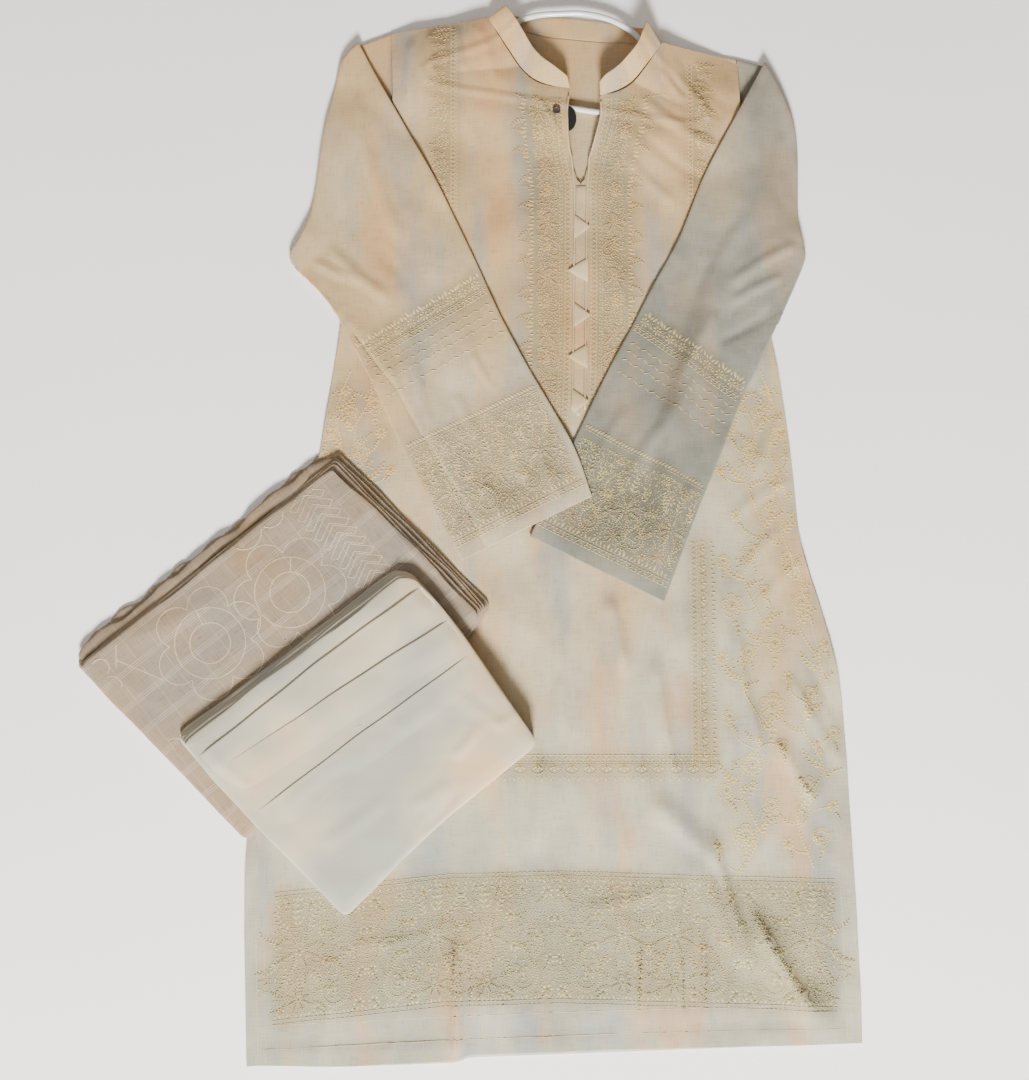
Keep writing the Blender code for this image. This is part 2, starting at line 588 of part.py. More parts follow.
def rounded_outline(corners, spacing=22.0, arc_points=3):
    """Closed outline, anticlockwise: straight runs with a round corner of each stated radius."""
    corners = np.asarray(corners, float)
    outline = []
    for i, (x, y, radius) in enumerate(corners):
        here = np.array([x, y])
        before = corners[i - 1, :2] - here
        after = corners[(i + 1) % len(corners), :2] - here
        cut_before = here + before / np.linalg.norm(before) * radius
        cut_after = here + after / np.linalg.norm(after) * radius
        t = np.linspace(0, 1, arc_points)[:, None]
        outline.append((1 - t)**2 * cut_before + 2 * t * (1 - t) * here + t**2 * cut_after)
        following = corners[(i + 1) % len(corners)]
        run_end = following[:2] - after / np.linalg.norm(after) * following[2]
        steps = max(int(np.linalg.norm(run_end - cut_after) / spacing), 1)
        share = np.linspace(0, 1, steps + 1)[1:-1, None]
        outline.append(cut_after * (1 - share) + run_end * share)
    return np.vstack(outline)


def pile_body(corners, height, ledges, grow=0.0):
    """Rounded pile: outlines stepped inwards up its side and closed by a fan at the middle."""
    outline = rounded_outline(corners)
    along = np.roll(outline, -1, axis=0) - np.roll(outline, 1, axis=0)
    inward = np.column_stack([-along[:, 1], along[:, 0]])
    inward /= np.linalg.norm(inward, axis=1)[:, None]
    middle = outline.mean(axis=0)
    to_middle = np.linalg.norm(outline - middle, axis=1)[:, None]
    rings = []
    for inset, share in ledges:
        sideways = outline + inward * (min(inset, 6.0) - grow)
        pulled = sideways + (middle - outline) / to_middle * max(inset - 6.0, 0.0)
        rings.append(with_height(pulled, share * height))
    count = len(outline)
    numbers = np.arange(len(rings) * count).reshape(len(rings), count)
    numbers = np.column_stack([numbers, numbers[:, :1]])
    faces = [tuple(quad) for quad in grid_faces(numbers)]
    points = np.vstack(rings + [[(*middle, height)]])
    faces += [(a, b, len(points) - 1) for a, b in zip(numbers[-1, :-1], numbers[-1, 1:])]
    faces.append(tuple(numbers[0, :-1][::-1]))
    return points, faces


def cut_away(part, points, faces):
    """Take a closed shape out of a part, as the room that another piece needs."""
    cutter = add_mesh(f"{part.name}_room", points, faces, (0.5, 0.5, 0.5))
    cutter.hide_render = True
    cutter.display_type = "WIRE"
    cut = part.modifiers.new("room", "BOOLEAN")
    cut.operation = "DIFFERENCE"
    cut.object = cutter


def kameez_room():
    """Block over the kameez's side and body, a little larger than the panels."""
    rows = spline(SECTIONS, body_stations()[::2])
    left = rows[:, 0:2] - (1.0, 0.0)
    right = np.column_stack([rows[:, 2] + 10.0, rows[:, 3]])
    plan = np.vstack([right, left[::-1]])
    count = len(plan)
    top = FRONT_TOP + SEAM_GAP
    points = np.vstack([with_height(plan, top), with_height(plan, -5.0)])
    faces = [tuple(range(count)), tuple(range(2 * count - 1, count - 1, -1))]
    faces += [(i, i + count, (i + 1) % count + count, (i + 1) % count) for i in range(count)]
    return points, faces


def make_piles():
    """Dupatta on floor and kameez, and salwar on dupatta and kameez."""
    colour = (0.47, 0.39, 0.30)
    dupatta = add_mesh("dupatta", *pile_body(DUPATTA_CORNERS, DUPATTA_HEIGHT, PILE_LEDGES), colour)
    cut_away(dupatta, *kameez_room())
    top = DUPATTA_HEIGHT + SALWAR_HEIGHT
    salwar = add_mesh("salwar", *pile_body(SALWAR_CORNERS, top, PILE_LEDGES), (0.66, 0.62, 0.54))
    cut_away(salwar, *kameez_room())
    cut_away(salwar, *pile_body(DUPATTA_CORNERS, DUPATTA_HEIGHT + ROOM_GAP, ROOM_LEDGES, ROOM_GAP))


def main():
    """Clear the file and make every piece."""
    for part in list(bpy.data.objects):
        bpy.data.objects.remove(part)
    make_back()
    make_front()
    make_sleeve("sleeve_left", LEFT_SLEEVE, LEFT_FOLD, -1, cuff_over_cuff)
    make_sleeve("sleeve_right", RIGHT_SLEEVE, RIGHT_FOLD, 1)
    make_collar()
    make_placket()
    make_piping("piping_left", True)
    make_piping("piping_right", False)
    for number, tab in enumerate(TABS, 1):
        make_tab(number, *tab)
    make_button()
    make_label()
    make_hanger()
    make_piles()


main()
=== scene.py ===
"""Salwar kameez suit laid flat: embroidered kameez on a hanger, folded dupatta, folded salwar.

Plan positions are in millimetres from the middle of the view, x to the right and y towards the
collar, and heights are millimetres over the floor. Every piece is a surface worked out on a grid.
"""

import bpy
import numpy as np
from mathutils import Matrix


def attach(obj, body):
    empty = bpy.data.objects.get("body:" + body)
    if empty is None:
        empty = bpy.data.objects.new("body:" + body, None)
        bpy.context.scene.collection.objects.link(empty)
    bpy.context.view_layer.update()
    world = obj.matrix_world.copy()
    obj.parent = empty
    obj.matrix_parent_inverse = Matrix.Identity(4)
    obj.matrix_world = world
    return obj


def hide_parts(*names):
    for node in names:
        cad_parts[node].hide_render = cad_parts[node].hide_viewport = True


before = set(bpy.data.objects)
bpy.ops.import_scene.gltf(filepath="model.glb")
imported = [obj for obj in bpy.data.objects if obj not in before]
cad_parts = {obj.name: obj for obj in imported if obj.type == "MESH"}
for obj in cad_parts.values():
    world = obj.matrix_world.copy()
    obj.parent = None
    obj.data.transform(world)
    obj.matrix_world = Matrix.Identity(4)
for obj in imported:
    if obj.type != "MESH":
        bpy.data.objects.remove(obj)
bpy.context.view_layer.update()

MM = 0.001
RANDOM_SEED = 11

# Cloth walls and layers, mm
WALL = 1.2
GAP = 0.3
FRONT_TOP = 2 * WALL + GAP
SLEEVE_MIDDLE = FRONT_TOP + 1.5 * GAP + WALL
DUPATTA_TOP = 14.0
SALWAR_TOP = 29.0

# The middle of the view lies here in the part's own frame, mm
PLAN_SHIFT = np.array([48.8, -19.575, 0.0])

# Sections across the kameez from hem to shoulder, mm:
# left side x, y; left edge of the middle x, y; right edge of the middle x, y; right side x, y
SECTIONS = np.array([
    (-257.6, -509.6, 24, -496.5, 24, -496.5, 335.2, -488.1),
    (-259.8, -447.7, 28, -435, 28, -435, 334.5, -430),
    (-261.8, -385, 31, -372, 31, -372, 332.5, -370),
    (-261.8, -317, 34, -300, 34, -300, 329.5, -305),
    (-258.2, -230, 38, -222, 38, -222, 326.5, -225),
    (-249.5, -149.3, 43, -145, 43, -145, 321.7, -149.3),
    (-234.9, -80.1, 47, -75, 47, -75, 306.5, -76),
    (-216.1, -10.2, 53, -10, 53, -10, 286.5, -8),
    (-202.9, 50.2, 58, 50, 58, 50, 280.5, 48),
    (-193.6, 100.9, 63, 105, 63, 105, 275.5, 100.9),
    (-184.3, 162.3, 66, 165, 66, 165, 267, 162.3),
    (-177.8, 203.5, 67, 215, 67, 215, 259.5, 203.5),
    (-170.2, 251.1, 67.5, 262, 67.5, 262, 254, 246),
    (-146, 307.5, 67.8, 312, 67.8, 312, 246.5, 292),
    (-133, 355, 67.7, 366, 67.7, 366, 239, 345),
    (-128.5, 395, 57.6, 400.8, 78, 400.8, 235, 385),
    (-126, 430, 54.7, 437.8, 87, 435, 233, 418),
    (-125.5, 455, 55.8, 464.5, 88, 456, 232, 440),
    (-125.6, 475, 38.5, 467.3, 99, 458.5, 231.3, 456),
    (-126, 490, 19, 475, 112, 464, 230.7, 469),
    (-126.5, 504, 1.6, 494, 125, 474.5, 230.2, 480),
    (-127, 516, -14.9, 518.6, 138, 491, 229.7, 489.5),
    (-127.5, 525.8, -28.4, 541.2, 151.8, 513.2, 229.3, 497.9),
])
SLIT_END_SECTION = 14
ARMHOLE_SECTION = 12
NECK_SECTION = 17
LAST_SECTION = len(SECTIONS) - 1
HEM_LINE_Y = -510.65
HEM_STEP_X = -50.0
HEM_STEP = 4.5
HEM_STEP_REACH = 130.0

# Large soft folds of the front, mm: start x, y; end x, y; sideways bow; half width; height
LARGE_FOLDS = (
    (-54, -508, -56, -385, 0, 18, 4),
    (180, -296, 240, -425, 12, 25, 5.4),
    (232, -368, 312, -482, 10, 24, 4.8),
    (135, -255, 206, -322, 0, 18, 4),
    (92, -55, 110, -135, 0, 16, 3),
    (138, -110, 162, -245, 6, 18, 4),
    (218, -82, 246, -222, 8, 20, 3.6),
    (258, -196, 300, -262, 0, 18, 2.6),
    (30, -215, 20, -310, 0, 16, 2.5),
    (120, 440, 205, 405, 4, 18, 3),
)

# Sleeves: rows from cuff to shoulder fold. Inner edge x, y; outer edge x, y, mm
LEFT_SLEEVE = np.array([
    (76.4, 42.6, -52, -21),
    (56.7, 96.2, -72.5, 17),
    (13.6, 172.7, -100, 70),
    (-14.7, 226.2, -121, 112),
    (-42.2, 287.5, -141.5, 158),
    (-78.1, 362.9, -160, 192),
    (-106.1, 413.6, -168, 208),
    (-135.2, 464.7, -176, 222),
    (-161, 513, -182, 233),
])
RIGHT_SLEEVE = np.array([
    (16.4, 2.4, 147.3, -61.5),
    (37.5, 48, 168.5, -5),
    (58.7, 94.1, 186, 40),
    (93.2, 166.5, 204, 82),
    (119.8, 215.9, 218, 118),
    (141.5, 258.4, 232, 152),
    (168.4, 308.3, 243, 172),
    (194.7, 373.4, 251, 190),
    (229.5, 439.1, 259, 205),
    (257, 491, 266, 220),
])
LEFT_FOLD = np.array([
    (-161, 513), (-176, 494.7), (-182.6, 469), (-194.2, 413.6), (-204.5, 340.8),
    (-216, 310), (-227, 288.5), (-214.7, 270.8), (-194, 254.2), (-182, 233),
])
RIGHT_FOLD = np.array([
    (257, 491), (276, 450.8), (287, 413.6), (288, 370), (287.8, 327.2),
    (291, 305), (293.5, 286.4), (284.5, 262), (275, 241), (266, 220),
])
SLEEVE_BULGE_REACH = 0.35
CUFF_LIFT = 3.4
CUFF_LIFT_RUN = (-30.0, -4.0)

# Pressed seam of the left sleeve from cuff to elbow, x, y, and its step, mm
SLEEVE_SEAM = np.array([
    (-26.4, -7.6), (-51.4, 40.5), (-73.6, 75.9), (-94.9, 111.4), (-119.3, 155.3), (-143.8, 185.0),
    (-166.3, 215.9), (-178.6, 231.4),
])
SEAM_STEP = 1.5

# Stand collar: base x, y; top x, y and height, from slit edge to slit edge, mm
COLLAR = np.array([
    (56.5, 466.5, 54, 476, 6),
    (38.5, 470, 39.3, 486, 12),
    (19, 479, 26, 496, 14),
    (3, 497, 14, 512, 15),
    (-13, 521, 3, 530, 15),
    (-26, 541, -8, 547.5, 14),
    (-15, 539.5, -9, 548.5, 8),
    (0, 533.5, 3, 545, 1.5),
    (25, 525.5, 26, 545, 1),
    (62, 521, 63, 543, 1),
    (98, 518, 101, 538, 1),
    (124, 516.5, 126, 533, 1.5),
    (141, 514.5, 136, 531, 8),
    (149.5, 513, 134, 530, 14),
    (136, 493, 126, 506, 15),
    (123, 477, 113, 491, 15),
    (110, 467, 102, 481, 13),
    (98, 461.5, 93, 475, 11),
    (87.5, 458.5, 87, 469, 6),
])
COLLAR_BACK_START = (5.0, 6.5)
COLLAR_BACK_END = (11.5, 13.0)
COLLAR_WALL = 1.5

PLACKET_TOP = (68.0, 364.0)
PLACKET_END = (64.5, 131.0)
PLACKET_HALF_WIDTH = 5.0
PLACKET_WALL = 1.0
PIPING_RADIUS = 0.9
# Folded triangles beside the placket: apex x, y; base x; base's lower and upper y, mm
TABS = (
    (76.5, 321, 61, 309, 333),
    (55, 275, 74.5, 263, 287),
    (76.5, 229, 60.5, 217, 241),
    (54.5, 186, 73.5, 174, 198),
    (74.5, 140, 58.5, 128, 152),
)
BUTTON_PLACE = (43.0, 440.0)
LABEL_PLACE = (54.0, 433.5)
LABEL_HALF_HEIGHT = 13.5
LABEL_WIDTH = 9.5

# Hanger centre line x, y, z, mm: neck arc over the collar's back, arms and bar under the front
HANGER_RADIUS = 3.0
HANGER_LIFT = 7.2
HANGER_SPREAD = (12.0, 62.0)
HANGER_LINE = np.array([
    (68, 546, 8.2), (45, 545.5, 8.2), (25, 544, 8.2), (8, 539, 8.2),
    (-4, 530.5, 6.8), (-13, 521, 4.7), (-28, 511, 4.5), (-55, 502, 4.5),
    (-82, 493, 4.5), (-93, 485, 4.5), (-90, 473, 4.5), (-78, 467, 4.5),
    (-25, 458.9, 4.5), (67, 444.5, 4.5), (159.4, 430.2, 4.5), (186, 427, 4.5),
    (197, 434, 4.5), (195, 447, 4.5), (184, 459, 4.5), (166, 477, 4.5),
    (152, 491, 4.5), (143, 502.5, 4.7), (135.5, 511.5, 6.6), (127, 520.5, 8.2),
    (112, 532.5, 8.2), (92, 541.5, 8.2),
])

# Folded piles: outline corners x, y and corner rounding, mm
DUPATTA_CORNERS = (
    (-435, -121, 6), (-262, -296, 8), (-38, -92, 10), (-23, -65, 8),
    (-58, -27.5, 10), (-176, 89, 6),
)
SALWAR_CORNERS = (
    (-330, -192.5, 6), (-256, -276, 60), (-162, -368, 10), (-80, -286, 40),
    (24.5, -201.5, 12), (-62, -76, 40), (-104, -31.5, 6), (-119, -30.5, 5),
)


def spline(rows, stations):
    """Smooth curve through the rows (cubic Hermite), read at row numbers between rows."""
    rows = np.asarray(rows, float)
    slopes = np.gradient(rows, axis=0)
    low = np.clip(np.floor(stations).astype(int), 0, len(rows) - 2)
    t = (np.asarray(stations) - low)[:, None]
    return ((2 * t**3 - 3 * t**2 + 1) * rows[low] + (t**3 - 2 * t**2 + t) * slopes[low]
            + (3 * t**2 - 2 * t**3) * rows[low + 1] + (t**3 - t**2) * slopes[low + 1])


def smoothstep(x, low, high):
    """0 below low, 1 above high, and a smooth rise between."""
    t = np.clip((np.asarray(x, float) - low) / (high - low), 0.0, 1.0)
    return t * t * (3 - 2 * t)


def polyline_distance(x, y, points):
    """Plan distance from places to a closed line: the least over its straight pieces."""
    line = np.vstack([points, points[:1]])
    nearest = np.full(np.shape(x), 1e9)
    for (x0, y0), (x1, y1) in zip(line[:-1], line[1:]):
        dx, dy = x1 - x0, y1 - y0
        square = max(dx * dx + dy * dy, 1e-9)
        along = np.clip(((x - x0) * dx + (y - y0) * dy) / square, 0.0, 1.0)
        nearest = np.minimum(nearest, np.hypot(x - x0 - along * dx, y - y0 - along * dy))
    return nearest


def ridge_sum(x, y, table, highest=False):
    """Cosine bells across straight or bowed lines, dying away at each line's ends."""
    total = np.zeros(np.shape(x))
    for x0, y0, x1, y1, bow, half_width, height in table:
        length = np.hypot(x1 - x0, y1 - y0)
        along = ((x - x0) * (x1 - x0) + (y - y0) * (y1 - y0)) / length**2
        side = ((x - x0) * (y1 - y0) - (y - y0) * (x1 - x0)) / length
        side = side - bow * 4 * along * (1 - along)
        bell = np.cos(np.clip(side / half_width, -1, 1) * np.pi / 2)**2
        ends = smoothstep(along, -0.05, 0.2) * (1 - smoothstep(along, 0.75, 1.05))
        part = height * bell * ends
        total = np.maximum(total, part) if highest else total + part
    return total


# Small creases of the front, mm: start x, y; end x, y; bow; half width; height or depth
FRONT_CREASES = (
    (186, -300, 210, -335, 2, 7, 1.2), (190, -278, 227, -398, 3, 8, 1.8),
    (242, -385, 260, -418, 3, 7, 0.9), (231, -360, 290, -460, 3, 8, 1.9),
    (140, -262, 205, -322, 3, 6, 1), (96, -57, 109, -133, 0, 6, 1.1),
    (140, -113, 162, -245, 4, 6, 1.1), (116, -158, 128, -250, -3, 7, 0.8),
    (222, -84, 246, -212, 6, 6, 1.2), (206, -100, 222, -190, 4, 7, -0.9),
    (272, -133, 332, -232, 5, 8, 1.4), (290, -120, 330, -190, 3, 7, -0.8),
    (258, -197, 298, -262, 3, 6, 1.3), (276, -262, 320, -322, 4, 8, 1),
    (25, -210, 17, -312, -3, 7, 0.9), (-30, -180, -36, -250, 2, 8, 0.7),
    (62, -170, 50, -262, 3, 8, 0.7), (-57, -508, -58, -390, 0, 4, 1.6),
    (-47, -500, -48, -400, 0, 5, -1.6), (-120, -505, -112, -420, 2, 7, 0.8),
    (-185, -505, -178, -400, 2, 9, 0.9), (30, -495, 33, -455, 0, 5, 0.8),
    (125, -496, 130, -452, 0, 5, 0.9), (145, -496, 141, -456, 0, 4, 0.7),
    (165, -497, 168, -450, 0, 5, 0.9), (190, -497, 186, -452, 0, 5, 0.7),
    (240, -494, 246, -455, 0, 6, 0.8), (-160, -395, -60, -375, 6, 9, 0.7),
    (60, -360, 150, -340, 5, 10, 0.7), (-86, 528, -80, 470, 3, 7, 1),
    (-104, 522, -108, 440, 3, 8, 1), (-60, 532, -50, 480, 2, 8, 0.8),
    (-38, 532, -22, 470, -3, 9, 0.8), (160, 500, 208, 424, 4, 10, 1.1),
    (176, 497, 222, 440, 3, 9, -0.5), (150, 486, 178, 450, 2, 7, 0.9),
    (128, 456, 220, 396, 5, 10, 1.3), (118, 430, 200, 366, 5, 9, -0.9),
    (112, 398, 172, 340, 4, 9, 0.9), (-90, 430, -70, 350, 3, 10, 0.8),
    (-40, 430, -30, 330, -3, 10, 0.7), (0, 400, 6, 300, 3, 10, 0.5),
    (100, 300, 110, 240, 2, 9, 0.6), (20, 280, 36, 200, 2, 9, 0.6),
    (24, 455, 60, 350, -8, 5, 1.2), (270, 130, 240, 60, 3, 9, 1),
    (276, 60, 214, 20, 3, 10, 0.9), (275, 20, 220, -40, 3, 10, 0.9),
    (286, -20, 240, -70, 2, 9, 0.8), (40, 10, 60, -60, 2, 12, 0.7),
    (0, -20, 20, -110, 2, 12, 0.7), (180, -60, 176, -140, 2, 10, 0.8),
    (124, -392, 122, -484, 1, 4, 1.5), (116, -400, 114, -476, 0, 4.5, -0.9),
    (163, -406, 165, -480, 1, 4, 1.3), (184, -376, 188, -482, 2, 5, 1.5),
    (176, -386, 179, -474, 0, 4, -0.9), (34, -440, 35, -492, 0, 4, 1.2),
    (-33, -436, -31, -490, 1, 5, 1), (-10, -446, -9, -490, 0, 4, 0.8),
    (42, -56, 46, -190, 2, 7, 1.2), (72, -66, 80, -204, -2, 6, 1.1),
    (4, -66, -6, -190, 2, 8, 1), (20, -90, 16, -200, -2, 7, -0.8),
    (100, -246, 112, -316, 2, 6, 1.1), (66, -246, 62, -316, -2, 7, 0.9),
    (-14, -250, -20, -318, 1, 7, 0.9),
)
# Creases along the sleeves, same columns
SLEEVE_CREASES = (
    (-44, 190, -20, 152, 2, 6, 1), (-104, 210, -82, 106, 4, 8, 1.2),
    (-120, 190, -98, 120, 3, 7, -0.9), (-190, 300, -120, 240, 4, 9, 1.6),
    (-206, 286, -150, 262, 3, 7, 1.4), (-176, 330, -110, 262, -4, 9, -1),
    (-150, 400, -112, 300, 4, 12, 1.3), (-160, 470, -150, 380, 3, 9, 1),
    (-180, 420, -176, 330, 3, 9, 1.2), (-60, 150, -10, 60, 3, 9, 0.9),
    (-20, 130, 20, 50, 3, 10, 0.8), (-30, 60, -8, 12, 1, 8, 0.8),
    (20, 100, 48, 40, 2, 8, 0.8), (262, 470, 246, 380, 4, 9, 1.2),
    (276, 420, 262, 320, 4, 9, 1.4), (286, 300, 216, 258, 3, 8, 1.5),
    (274, 268, 214, 236, 3, 8, 1.3), (270, 240, 206, 200, -3, 8, -1),
    (238, 330, 190, 240, 4, 12, 1.2), (205, 230, 160, 140, 4, 10, 1),
    (190, 170, 120, 60, 5, 11, 0.9), (150, 120, 96, 20, 4, 10, 0.8),
    (110, 130, 72, 50, 3, 8, 0.8), (180, 60, 140, -30, 3, 9, 0.9),
    (100, 10, 120, -40, 2, 8, 0.7), (216, 275, 154, 92, 4, 24, 4.6),
    (162, 140, 136, -44, -3, 21, 4.4),
)
# Gentle unevenness of pressed cotton: number of waves, least and greatest wave length, height, mm
CREASE_STRENGTH = 1.45
SWELL_WAVES = 26
SWELL_LENGTHS = (55.0, 190.0)
SWELL_HEIGHT = 0.28
RIPPLE_LENGTHS = (16.0, 46.0)
RIPPLE_HEIGHT = 0.035
FACING_RISE = 1.0


def swell(x, y, lengths, height, seed):
    """Sum of plane waves with seeded directions, lengths and phases."""
    draw = np.random.default_rng(seed)
    total = np.zeros(np.shape(x))
    for _ in range(SWELL_WAVES):
        angle = draw.uniform(0, np.pi)
        number = 2 * np.pi / draw.uniform(*lengths)
        phase = draw.uniform(0, 2 * np.pi)
        total = total + np.sin(number * (x * np.cos(angle) + y * np.sin(angle)) + phase)
    return total * height


def facing_rise(x, y):
    """Extra rise where hem and slit edges are turned in: a doubled cloth beside each edge."""
    right = np.interp(y, SECTIONS[:, 7], SECTIONS[:, 6]) - x
    left = x - np.interp(y, SECTIONS[:, 1], SECTIONS[:, 0])
    up = y - np.interp(x, SECTIONS[0, [0, 2, 6]], SECTIONS[0, [1, 3, 7]])
    return FACING_RISE * np.maximum.reduce([
        (1 - smoothstep(right, 12.5, 15.5)) * (1 - smoothstep(y, -20, 40)),
        (1 - smoothstep(left, 16.5, 19.5)) * (1 - smoothstep(y, -320, -280)),
        1 - smoothstep(up, 13.5, 17)])


def front_lift(x, y):
    """Rise of the front over its flat place: hanger under it, large folds, creases and swell."""
    near = polyline_distance(x, y, HANGER_LINE[:, :2])
    tent = (HANGER_LIFT * (1 - smoothstep(near, *HANGER_SPREAD))
            + 0.9 * (1 - smoothstep(near, 0.0, 7.0)))
    folds = ridge_sum(x, y, LARGE_FOLDS, highest=True)
    creases = ridge_sum(x, y, FRONT_CREASES) * CREASE_STRENGTH
    uneven = swell(x, y, SWELL_LENGTHS, SWELL_HEIGHT, RANDOM_SEED)
    fine = swell(x, y, RIPPLE_LENGTHS, RIPPLE_HEIGHT, RANDOM_SEED + 1)
    lift = np.maximum(tent, folds) + creases + uneven + fine + 1.0 + facing_rise(x, y)
    return np.where(lift > 0, lift, 0.0)


def front_top(x, y):
    """Height of the front's upper side."""
    return FRONT_TOP + front_lift(x, y)


def hem_shift(x, y):
    """Drop of the hem left of the upright crease, fading out above the hem."""
    near_hem = 1 - smoothstep(y, HEM_LINE_Y + 20, HEM_LINE_Y + HEM_STEP_REACH)
    inside = smoothstep(x, -250.0, -160.0)
    left = inside * (1 - smoothstep(x, HEM_STEP_X - 8, HEM_STEP_X + 8))
    return -HEM_STEP * left * near_hem


def with_height(plan, height):
    """Plan points with a height each."""
    return np.column_stack([plan, np.broadcast_to(height, len(plan))])


def grid_faces(numbers):
    """Quads between neighbours in a table of point numbers."""
    a, b = numbers[:-1, :-1], numbers[:-1, 1:]
    c, d = numbers[1:, 1:], numbers[1:, :-1]
    return np.stack([a, b, c, d], axis=-1).reshape(-1, 4)


def ring_numbers(rings, around):
    """Point numbers of rings that close on themselves."""
    numbers = np.arange(rings * around).reshape(rings, around)
    return np.column_stack([numbers, numbers[:, :1]])


def capped(numbers, first, last):
    """Quads between rings, closed by fans of triangles round a first and a last point."""
    low, high = numbers[0], numbers[-1]
    around = len(low) - 1
    return np.vstack([grid_faces(numbers),
                      np.column_stack([low[1:], low[:-1], np.full((around, 2), first)]),
                      np.column_stack([high[:-1], high[1:], np.full((around, 2), last)])])


def wall_body(outer, inner, quads):
    """Closed wall: the outer sheet, the inner sheet turned round, and rims on open edges."""
    count = len(outer)
    edges = np.concatenate([quads[:, [i, (i + 1) % 4]] for i in range(4)])
    keys = np.sort(edges, axis=1)
    keys = keys[:, 0] * np.int64(count) + keys[:, 1]
    _, first, times = np.unique(keys, return_index=True, return_counts=True)
    open_edges = edges[first[times == 1]]
    a, b = open_edges[:, 0], open_edges[:, 1]
    rims = np.column_stack([b, a, a + count, b + count])
    return np.vstack([outer, inner]), np.vstack([quads, quads[:, ::-1] + count, rims])


def make_mesh(name, points, quads, material, node=None, uv=None, tint=None):
    """One piece from points in mm and its quads (a triangle repeats its last corner)."""
    plan = np.asarray(points, float)[:, :2]
    points = (np.asarray(points, float) + PLAN_SHIFT) * MM
    quads = np.asarray(quads)
    mesh = bpy.data.meshes.new(name)
    triangle = quads[:, 2] == quads[:, 3]
    sizes = np.where(triangle, 3, 4)
    kept = np.ones(quads.shape, bool)
    kept[triangle, 3] = False
    corners = quads[kept]
    starts = np.concatenate([[0], np.cumsum(sizes)[:-1]])
    mesh.vertices.add(len(points))
    mesh.vertices.foreach_set("co", points.astype(np.float32).ravel())
    mesh.loops.add(len(corners))
    mesh.loops.foreach_set("vertex_index", corners.astype(np.int32))
    mesh.polygons.add(len(sizes))
    mesh.polygons.foreach_set("loop_start", starts.astype(np.int32))
    mesh.polygons.foreach_set("loop_total", sizes.astype(np.int32))
    mesh.update(calc_edges=True)
    if uv is not None:
        layer = mesh.uv_layers.new(name="cloth")
        uv = np.asarray(uv, float)[corners] * MM
        layer.data.foreach_set("uv", uv.astype(np.float32).ravel())
    # Painted shade under the embroidery: its share at each point
    if tint is not None:
        layer = mesh.attributes.new("stitch_shade", "FLOAT", "POINT")
        layer.data.foreach_set("value", tint(plan[:, 0], plan[:, 1]).astype(np.float32))
    mesh.shade_smooth()
    mesh.materials.append(material)
    piece = bpy.data.objects.new(name, mesh)
    bpy.context.scene.collection.objects.link(piece)
    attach(piece, "root")
    if node:
        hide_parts(node)
    return piece


def half_surface(piece):
    """Half of a piece's whole surface in square metres, which is one side of its cloth."""
    mesh = piece.data
    areas = np.zeros(len(mesh.polygons), np.float32)
    mesh.polygons.foreach_get("area", areas)
    return float(areas.sum()) / 2


def declare_sheet(piece, width, length):
    """Work out the area that a cloth piece's cut really has, from its surface, width and length;
    the area is not used further.
    """
    area = min(max(half_surface(piece), 0.31 * width * length), width * length)


# Finishes


def linear(hex_colour):
    """sRGB hex to the linear values that a shader takes."""
    value = np.array([int(hex_colour[i:i + 2], 16) for i in (1, 3, 5)]) / 255.0
    low = value / 12.92
    high = ((value + 0.055) / 1.055)**2.4
    return (*np.where(value <= 0.04045, low, high), 1.0)


def node(tree, kind, settings=None, **links):
    """Add one node, set its fields and inputs, and link inputs given as output sockets."""
    added = tree.nodes.new(kind)
    for key, value in (settings or {}).items():
        if key in added.bl_rna.properties:
            setattr(added, key, value)
        else:
            added.inputs[key].default_value = value
    for key, value in links.items():
        place = int(key[1:]) if key[0] == "i" and key[1:].isdigit() else key.replace("_", " ")
        tree.links.new(value, added.inputs[place])
    return added


def calculated(tree, operation, *operands):
    """Result of one arithmetic node, each operand a number or an output socket."""
    added = node(tree, "ShaderNodeMath", {"operation": operation})
    for operand, place in zip(operands, added.inputs):
        if isinstance(operand, float):
            place.default_value = operand
        else:
            tree.links.new(operand, place)
    return added.outputs[0]


def noise(tree, coordinate, scale, detail=2.0):
    """Soft cloudy noise at a scale, as a socket."""
    return node(tree, "ShaderNodeTexNoise", {"Scale": scale, "Detail": detail},
                Vector=coordinate).outputs[0]


def in_range(tree, value, low, high):
    """0 where the value is low, 1 where it is high, and straight between, as a socket."""
    return node(tree, "ShaderNodeMapRange", {"From Min": low, "From Max": high},
                i0=value).outputs[0]


def start_material(name):
    """A node tree with its output, and the object's own coordinates."""
    material = bpy.data.materials.new(name)
    material.use_nodes = True
    tree = material.node_tree
    tree.nodes.clear()
    output = tree.nodes.new("ShaderNodeOutputMaterial")
    return material, tree, output, node(tree, "ShaderNodeTexCoord").outputs["Object"]


def ramp(tree, factor, stops):
    """A colour ramp over the factor with (place, hex colour) stops."""
    added = tree.nodes.new("ShaderNodeValToRGB")
    elements = added.color_ramp.elements
    while len(elements) < len(stops):
        elements.new(0.5)
    for element, (place, colour) in zip(elements, stops):
        element.position = place
        element.color = linear(colour)
    tree.links.new(factor, added.inputs["Fac"])
    return added.outputs["Color"]


def mixed_colour(tree, factor, first, second, strength=1.0, blend="MIX"):
    """Mix of a colour socket with a second socket or hex colour, by a factor and a strength."""
    mix = node(tree, "ShaderNodeMix", {"data_type": "RGBA", "blend_type": blend})
    mix.inputs["Factor"].default_value = strength
    if factor is not None:
        tree.links.new(calculated(tree, "MULTIPLY", factor, strength), mix.inputs["Factor"])
    tree.links.new(first, mix.inputs[6])
    if isinstance(second, str):
        mix.inputs[7].default_value = linear(second)
    else:
        tree.links.new(second, mix.inputs[7])
    return mix.outputs[2]


